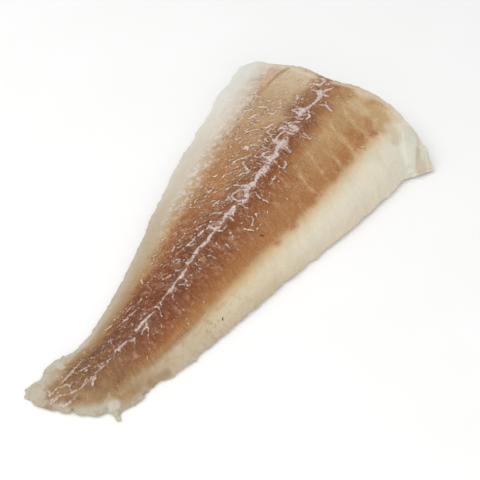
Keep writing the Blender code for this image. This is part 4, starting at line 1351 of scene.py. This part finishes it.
def makeToneGroup():
    # colour of the flesh, shared by the flesh and by the rims of what lies on it
    group = bpy.data.node_groups.new("fleshTone", "ShaderNodeTree")
    group.interface.new_socket("Color", in_out="OUTPUT", socket_type="NodeSocketColor")
    n = Nodes(group)
    out = n.add("NodeGroupOutput")
    share, along = n.layer("across"), n.layer("along")

    def tint(colour, name, *shares):
        return n.mix(n.product(*shares), colour, toneLook[name])

    # zones, with wavering borders
    amount, size = toneLook["shareNoise"]
    wide = n.product(n.centred(n.noise(size, 3.0, stretch=(0.55, 1, 1))), amount * 2)
    amount, size = toneLook["fineShareNoise"]
    fine = n.product(n.centred(n.noise(size, 2.0, seed=3.0)), amount * 2)
    shift = n.product(n.math("ADD", wide, fine), n.fit(share, -0.1, 0.2, 0.4, 1.0))
    moved = n.math("ADD", share, shift)
    place = n.math("MULTIPLY_ADD", moved, 0.5, 0.5)
    colour = zoneRamp(n, place, zones[0][1])
    for (start, _), (end, stops) in zip(zones, zones[1:]):
        colour = n.mix(n.fit(along, start, end), colour, zoneRamp(n, place, stops))
    band = n.product(n.fit(moved, -0.70, -0.58), n.fit(moved, 0.66, 0.5))
    margin = n.math("SUBTRACT", 1.0, band)

    # streaks and blotches of the brown band, and what the brushes paint
    streaky = n.flowNoise(1.3, 3.2, 4.0, 0.62, seed=7.0)
    colour = tint(colour, "darkStreak", band, n.fit(streaky, 0.52, 0.70, 0.0, 0.5))
    colour = tint(colour, "lightStreak", band, n.fit(streaky, 0.48, 0.30, 0.0, 0.36))
    blotch = n.fit(n.noise(3.4, 2.0, seed=5.0), 0.32, 0.62, 0.45, 0.95)
    colour = tint(colour, "rust", n.layer("rust"), blotch)
    ragged = n.fit(n.noise(1.6, 3.0, 0.6, seed=6.0), 0.36, 0.56, 0.2, 0.8)
    colour = tint(colour, "cloud", n.layer("cloud"), ragged)
    soft = n.fit(n.noise(4.0, 3.0, seed=9.0), 0.42, 0.62, 0.0, 0.42)
    colour = tint(colour, "line", n.layer("lines"), soft)
    for name, strength in brushStrength.items():
        colour = tint(colour, name, n.layer(name), strength)

    # patches on the pale margins, and the fringe of the back margin
    patches = n.fit(n.noise(2.6, 4.0, 0.7, seed=71.0), 0.50, 0.64, 0.0, 0.6)
    colour = tint(colour, "patch", margin, n.fit(along, 0, -50), patches)
    rimShare = n.product(n.fit(share, 0.50, 0.60), n.fit(share, 0.80, 0.68), n.fit(along, -40, 20))
    fringe = n.fit(n.noise(3.0, 4.0, 0.6, seed=73.0, distortion=0.6), 0.50, 0.60, 0.0, 0.6)
    colour = tint(colour, "fringe", rimShare, fringe)

    # smears and veins, mostly on the back half
    onBack = n.product(n.fit(share, -0.25, 0.06, 0.25, 1.0), n.fit(along, -70, 10, 0.45, 1.0))
    smears = n.fit(n.flowNoise(1.6, 2.2, 5.0, 0.68, seed=11.0, distortion=0.9), 0.53, 0.64)
    ridge = n.math("ABSOLUTE", n.centred(n.flowNoise(1.2, 2.8, 3.0, 0.6, seed=13.0, distortion=1.2)))
    veins = n.product(n.fit(ridge, 0.03, 0.004), n.fit(n.noise(3.0, 2.0, seed=15.0), 0.45, 0.6))
    colour = tint(colour, "smear", band, onBack, smears, 0.42)
    colour = tint(colour, "vein", band, onBack, veins, 0.6)

    # shade among the strands, and the thin film
    haze = n.product(n.fit(n.layer("haze"), 0.03, 0.5), n.fit(share, -0.24, -0.04, 0.3, 1.0))
    haze = n.product(haze, n.fit(along, -80, 20, 0.45, 1.0))
    mottle = n.flowNoise(0.9, 1.6, 4.0, 0.65, seed=19.0, distortion=0.8)
    colour = tint(colour, "haze", haze, n.fit(mottle, 0.50, 0.42, 0.0, 0.5))
    colour = tint(colour, "shadow", haze, n.fit(mottle, 0.49, 0.60, 0.0, 0.8))
    ring = n.product(n.fit(n.layer("near"), 0.04, 0.35), n.fit(n.layer("near"), 0.95, 0.5))
    ring = n.product(ring, n.fit(along, 50, 95, 1.0, 0.4), n.fit(along, -104, -90, 0.2, 1.0))
    colour = tint(colour, "shadow", ring, n.fit(mottle, 0.44, 0.58, 0.1, 0.7))
    torn = n.flowNoise(1.0, 2.0, 4.0, 0.7, seed=21.0, distortion=0.6)
    colour = tint(colour, "veil", n.layer("veil"), n.fit(torn, 0.44, 0.58, 0.08, 0.6))
    threads = n.math("ABSOLUTE", n.centred(n.flowNoise(0.9, 2.4, 3.0, seed=25.0, distortion=1.0)))
    colour = tint(colour, "veilThread", n.layer("veil"), n.fit(threads, 0.03, 0.0, 0.0, 0.8))

    # small pale dots, mostly on the back half of the band, and grain
    paleDots = n.fit(n.noise(0.8, 1.0, seed=75.0), 0.63, 0.69)
    paleDots = n.product(paleDots, n.fit(n.noise(7.0, 2.0, seed=77.0), 0.42, 0.58))
    colour = tint(colour, "speck", paleDots, n.math("MULTIPLY_ADD", n.product(band, onBack), 0.55, 0.02))
    grain = n.greys(n.noise(0.55, 2.0, 0.6, seed=17.0), 0.18)
    colour = n.mix(n.math("MULTIPLY_ADD", band, 0.5, 0.12), colour, grain, "SOFT_LIGHT")
    colour = n.mix(0.35, colour, n.greys(n.noise(9.0, 3.0, 0.55, seed=23.0), 0.08), "SOFT_LIGHT")

    # cut end and underside
    ringLines = n.fit(n.math("FRACT", n.layer("rings")), 0.74, 0.98)
    ringLines = n.product(ringLines, n.fit(n.noise(4.0, 2.0, seed=27.0), 0.4, 0.6, 0.3, 0.9))
    colour = n.mix(n.layer("cut"), colour, n.mix(ringLines, toneLook["cutPale"], toneLook["cutLine"]))
    underNoise = n.fit(n.noise(3.5, 3.0, stretch=(0.5, 1, 1), seed=29.0), 0.45, 0.65)
    colour = n.mix(n.layer("under"), colour, n.mix(underNoise, toneLook["underPale"], toneLook["underLine"]))
    group.links.new(colour, out.inputs["Color"])
    return group


# What is the same all over a material, set on its shader
shaderLook = {
    "codFlesh": {
        "Subsurface Weight": 0.22, "Subsurface Radius": (1.0, 0.55, 0.32), "Subsurface Scale": 0.0022,
        "IOR": 1.38, "Specular IOR Level": 0.4, "Coat Weight": 0.18, "Coat Roughness": 0.22, "Coat IOR": 1.34,
    },
    "silverMembrane": {
        "Subsurface Weight": 0.12, "Subsurface Radius": (1.0, 0.7, 0.5), "Subsurface Scale": 0.0012,
        "Specular IOR Level": 0.4, "Coat Weight": 0.2, "Coat Roughness": 0.2,
    },
    "paleFlake": {"Subsurface Weight": 0.2, "Subsurface Radius": (1.0, 0.8, 0.6), "Subsurface Scale": 0.0015},
    "darkScrap": {},
    "paleFloor": {"Roughness": 0.7},
}

membraneLook = {
    "silver": (paint(174, 149, 138), paint(218, 208, 203)),     # over the backbone
    "cream": (paint(196, 168, 142), paint(225, 210, 193)),      # and beside it
}

# Flake and specks: two colours, size and seed of their noise, of the roughness and its range, and of the bump
# with its strength and height
scrapLook = {
    "paleFlake": {
        "colours": (paint(213, 210, 197), paint(204, 200, 185)), "noise": (5.0, 61.0),
        "rough": (1.4, 63.0, 0.34, 0.5), "bump": (1.6, 67.0, 0.2, 0.15),
    },
    "darkScrap": {
        "colours": (paint(58, 38, 28), paint(92, 64, 44)), "noise": (0.8, 81.0),
        "rough": (0.6, 83.0, 0.4, 0.6), "bump": (0.5, 85.0, 0.3, 0.1),
    },
}


def startMaterial(name):
    material = bpy.data.materials.new(name)
    material.use_nodes = True
    shader = material.node_tree.nodes["Principled BSDF"]
    for socket, value in shaderLook[name].items():
        shader.inputs[socket].default_value = value
    return material, Nodes(material.node_tree), shader


def addRoughness(n, shader, noise, low, high):
    n.feed(shader.inputs["Roughness"], n.fit(noise, 0.3, 0.7, low, high))


def addBump(n, shader, height, strength, distance):
    bump = n.add("ShaderNodeBump", {"Height": height, "Strength": strength, "Distance": distance * mm})
    n.feed(shader.inputs["Normal"], bump.outputs["Normal"])


def makeFleshMaterial(tone):
    material, n, shader = startMaterial("codFlesh")
    n.feed(shader.inputs["Base Color"], n.add("ShaderNodeGroup", node_tree=tone).outputs["Color"])
    addRoughness(n, shader, n.noise(1.8, 3.0, 0.6, seed=31.0), 0.34, 0.52)
    wrinkles = n.math("ADD", n.flowNoise(0.7, 2.0, 3.0, 0.6, seed=37.0), n.noise(2.4, 2.0, seed=39.0))
    addBump(n, shader, wrinkles, 0.35, 0.25)
    return material


def makeWebMaterial(tone):
    # film is the distance in millimetres inside the edge of a strand, frayed here by fine noise
    material, n, shader = startMaterial("silverMembrane")
    below = n.add("ShaderNodeGroup", node_tree=tone).outputs["Color"]
    fray = n.centred(n.flowNoise(0.8, 1.8, 4.0, 0.7, seed=45.0))
    film = n.math("MULTIPLY_ADD", fray, 1.2, n.layer("film"))
    threads = n.fit(n.flowNoise(0.6, 2.4, 3.0, 0.6, seed=41.0, distortion=0.8), 0.40, 0.60)
    silver, cream = (n.mix(threads, *membraneLook[name]) for name in ("silver", "cream"))
    cover = n.product(n.fit(film, -0.05, 0.16), n.fit(film, 0.0, 0.5, 0.7, 0.95))
    worn = n.fit(n.noise(2.2, 3.0, seed=43.0), 0.28, 0.55, 0.7, 1.0)
    worn = n.product(worn, n.fit(n.layer("along"), -95, -30, 0.70, 1.0))
    colour = n.mix(n.product(cover, worn), below, n.mix(n.layer("silver"), cream, silver))
    n.feed(shader.inputs["Base Color"], colour)
    addRoughness(n, shader, n.noise(1.0, 2.0, seed=47.0), 0.3, 0.48)
    addBump(n, shader, n.noise(0.6, 2.0, seed=53.0), 0.3, 0.2)
    return material


def makeScrapMaterial(name):
    material, n, shader = startMaterial(name)
    look = scrapLook[name]
    size, seed = look["noise"]
    patches = n.fit(n.noise(size, 2.0, seed=seed), 0.35, 0.65)
    n.feed(shader.inputs["Base Color"], n.mix(patches, *look["colours"]))
    size, seed, low, high = look["rough"]
    addRoughness(n, shader, n.noise(size, 2.0, seed=seed), low, high)
    size, seed, strength, height = look["bump"]
    addBump(n, shader, n.noise(size, 2.0, seed=seed), strength, height)
    return material


print("materials")
toneGroup = makeToneGroup()
flesh.data.materials.append(makeFleshMaterial(toneGroup))
web.data.materials.append(makeWebMaterial(toneGroup))
flake.data.materials.append(makeScrapMaterial("paleFlake"))
specks.data.materials.append(makeScrapMaterial("darkScrap"))
pieces = [flesh, web, flake, specks]
sharpFrom = 55      # degrees between faces
for piece in pieces:
    choose(piece)
    bpy.ops.object.shade_smooth_by_angle(angle=math.radians(sharpFrom))

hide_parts("fillet")
for piece in pieces:
    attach(piece, "root")


# Floor, light and output colours

studio = {
    "floorSize": 4.0,
    "floorLevel": -0.00002,
    "floorColours": ((0.86, 0.86, 0.85, 1), (0.9, 0.9, 0.9, 1)),
    "worldStrength": 0.60,
    "boxSize": 0.9,
    "boxPlace": (-0.25, 0.30, 0.85),
    "boxEnergy": 5.2,
    "fillPlace": (-0.6, -0.7, 0.55),
    "fillEnergy": 3.4,
}


def makeStudio():
    choose(None)
    bpy.ops.mesh.primitive_plane_add(size=studio["floorSize"], location=(0, 0, studio["floorLevel"]))
    floor = bpy.context.object
    floor.name = "floor"
    material, n, shader = startMaterial("paleFloor")
    n.feed(shader.inputs["Base Color"], n.mix(n.noise(60.0, 2.0), *studio["floorColours"]))
    floor.data.materials.append(material)
    world = bpy.data.worlds.new("studio")
    world.use_nodes = True
    background = world.node_tree.nodes["Background"]
    background.inputs["Color"].default_value = (1, 1, 1, 1)
    background.inputs["Strength"].default_value = studio["worldStrength"]
    bpy.context.scene.world = world
    for name in ("box", "fill"):
        data = bpy.data.lights.new(name, "AREA")
        data.size = studio["boxSize"]
        data.energy = studio[name + "Energy"]
        light = addObject(name, data)
        light.location = studio[name + "Place"]
        aim(light, -light.location)
    bpy.context.scene.view_settings.view_transform = "Standard"


print("studio")
makeStudio()
bpy.context.view_layer.update()
print("triangles", {piece.name: sum(len(p.vertices) - 2 for p in piece.data.polygons) for piece in pieces})
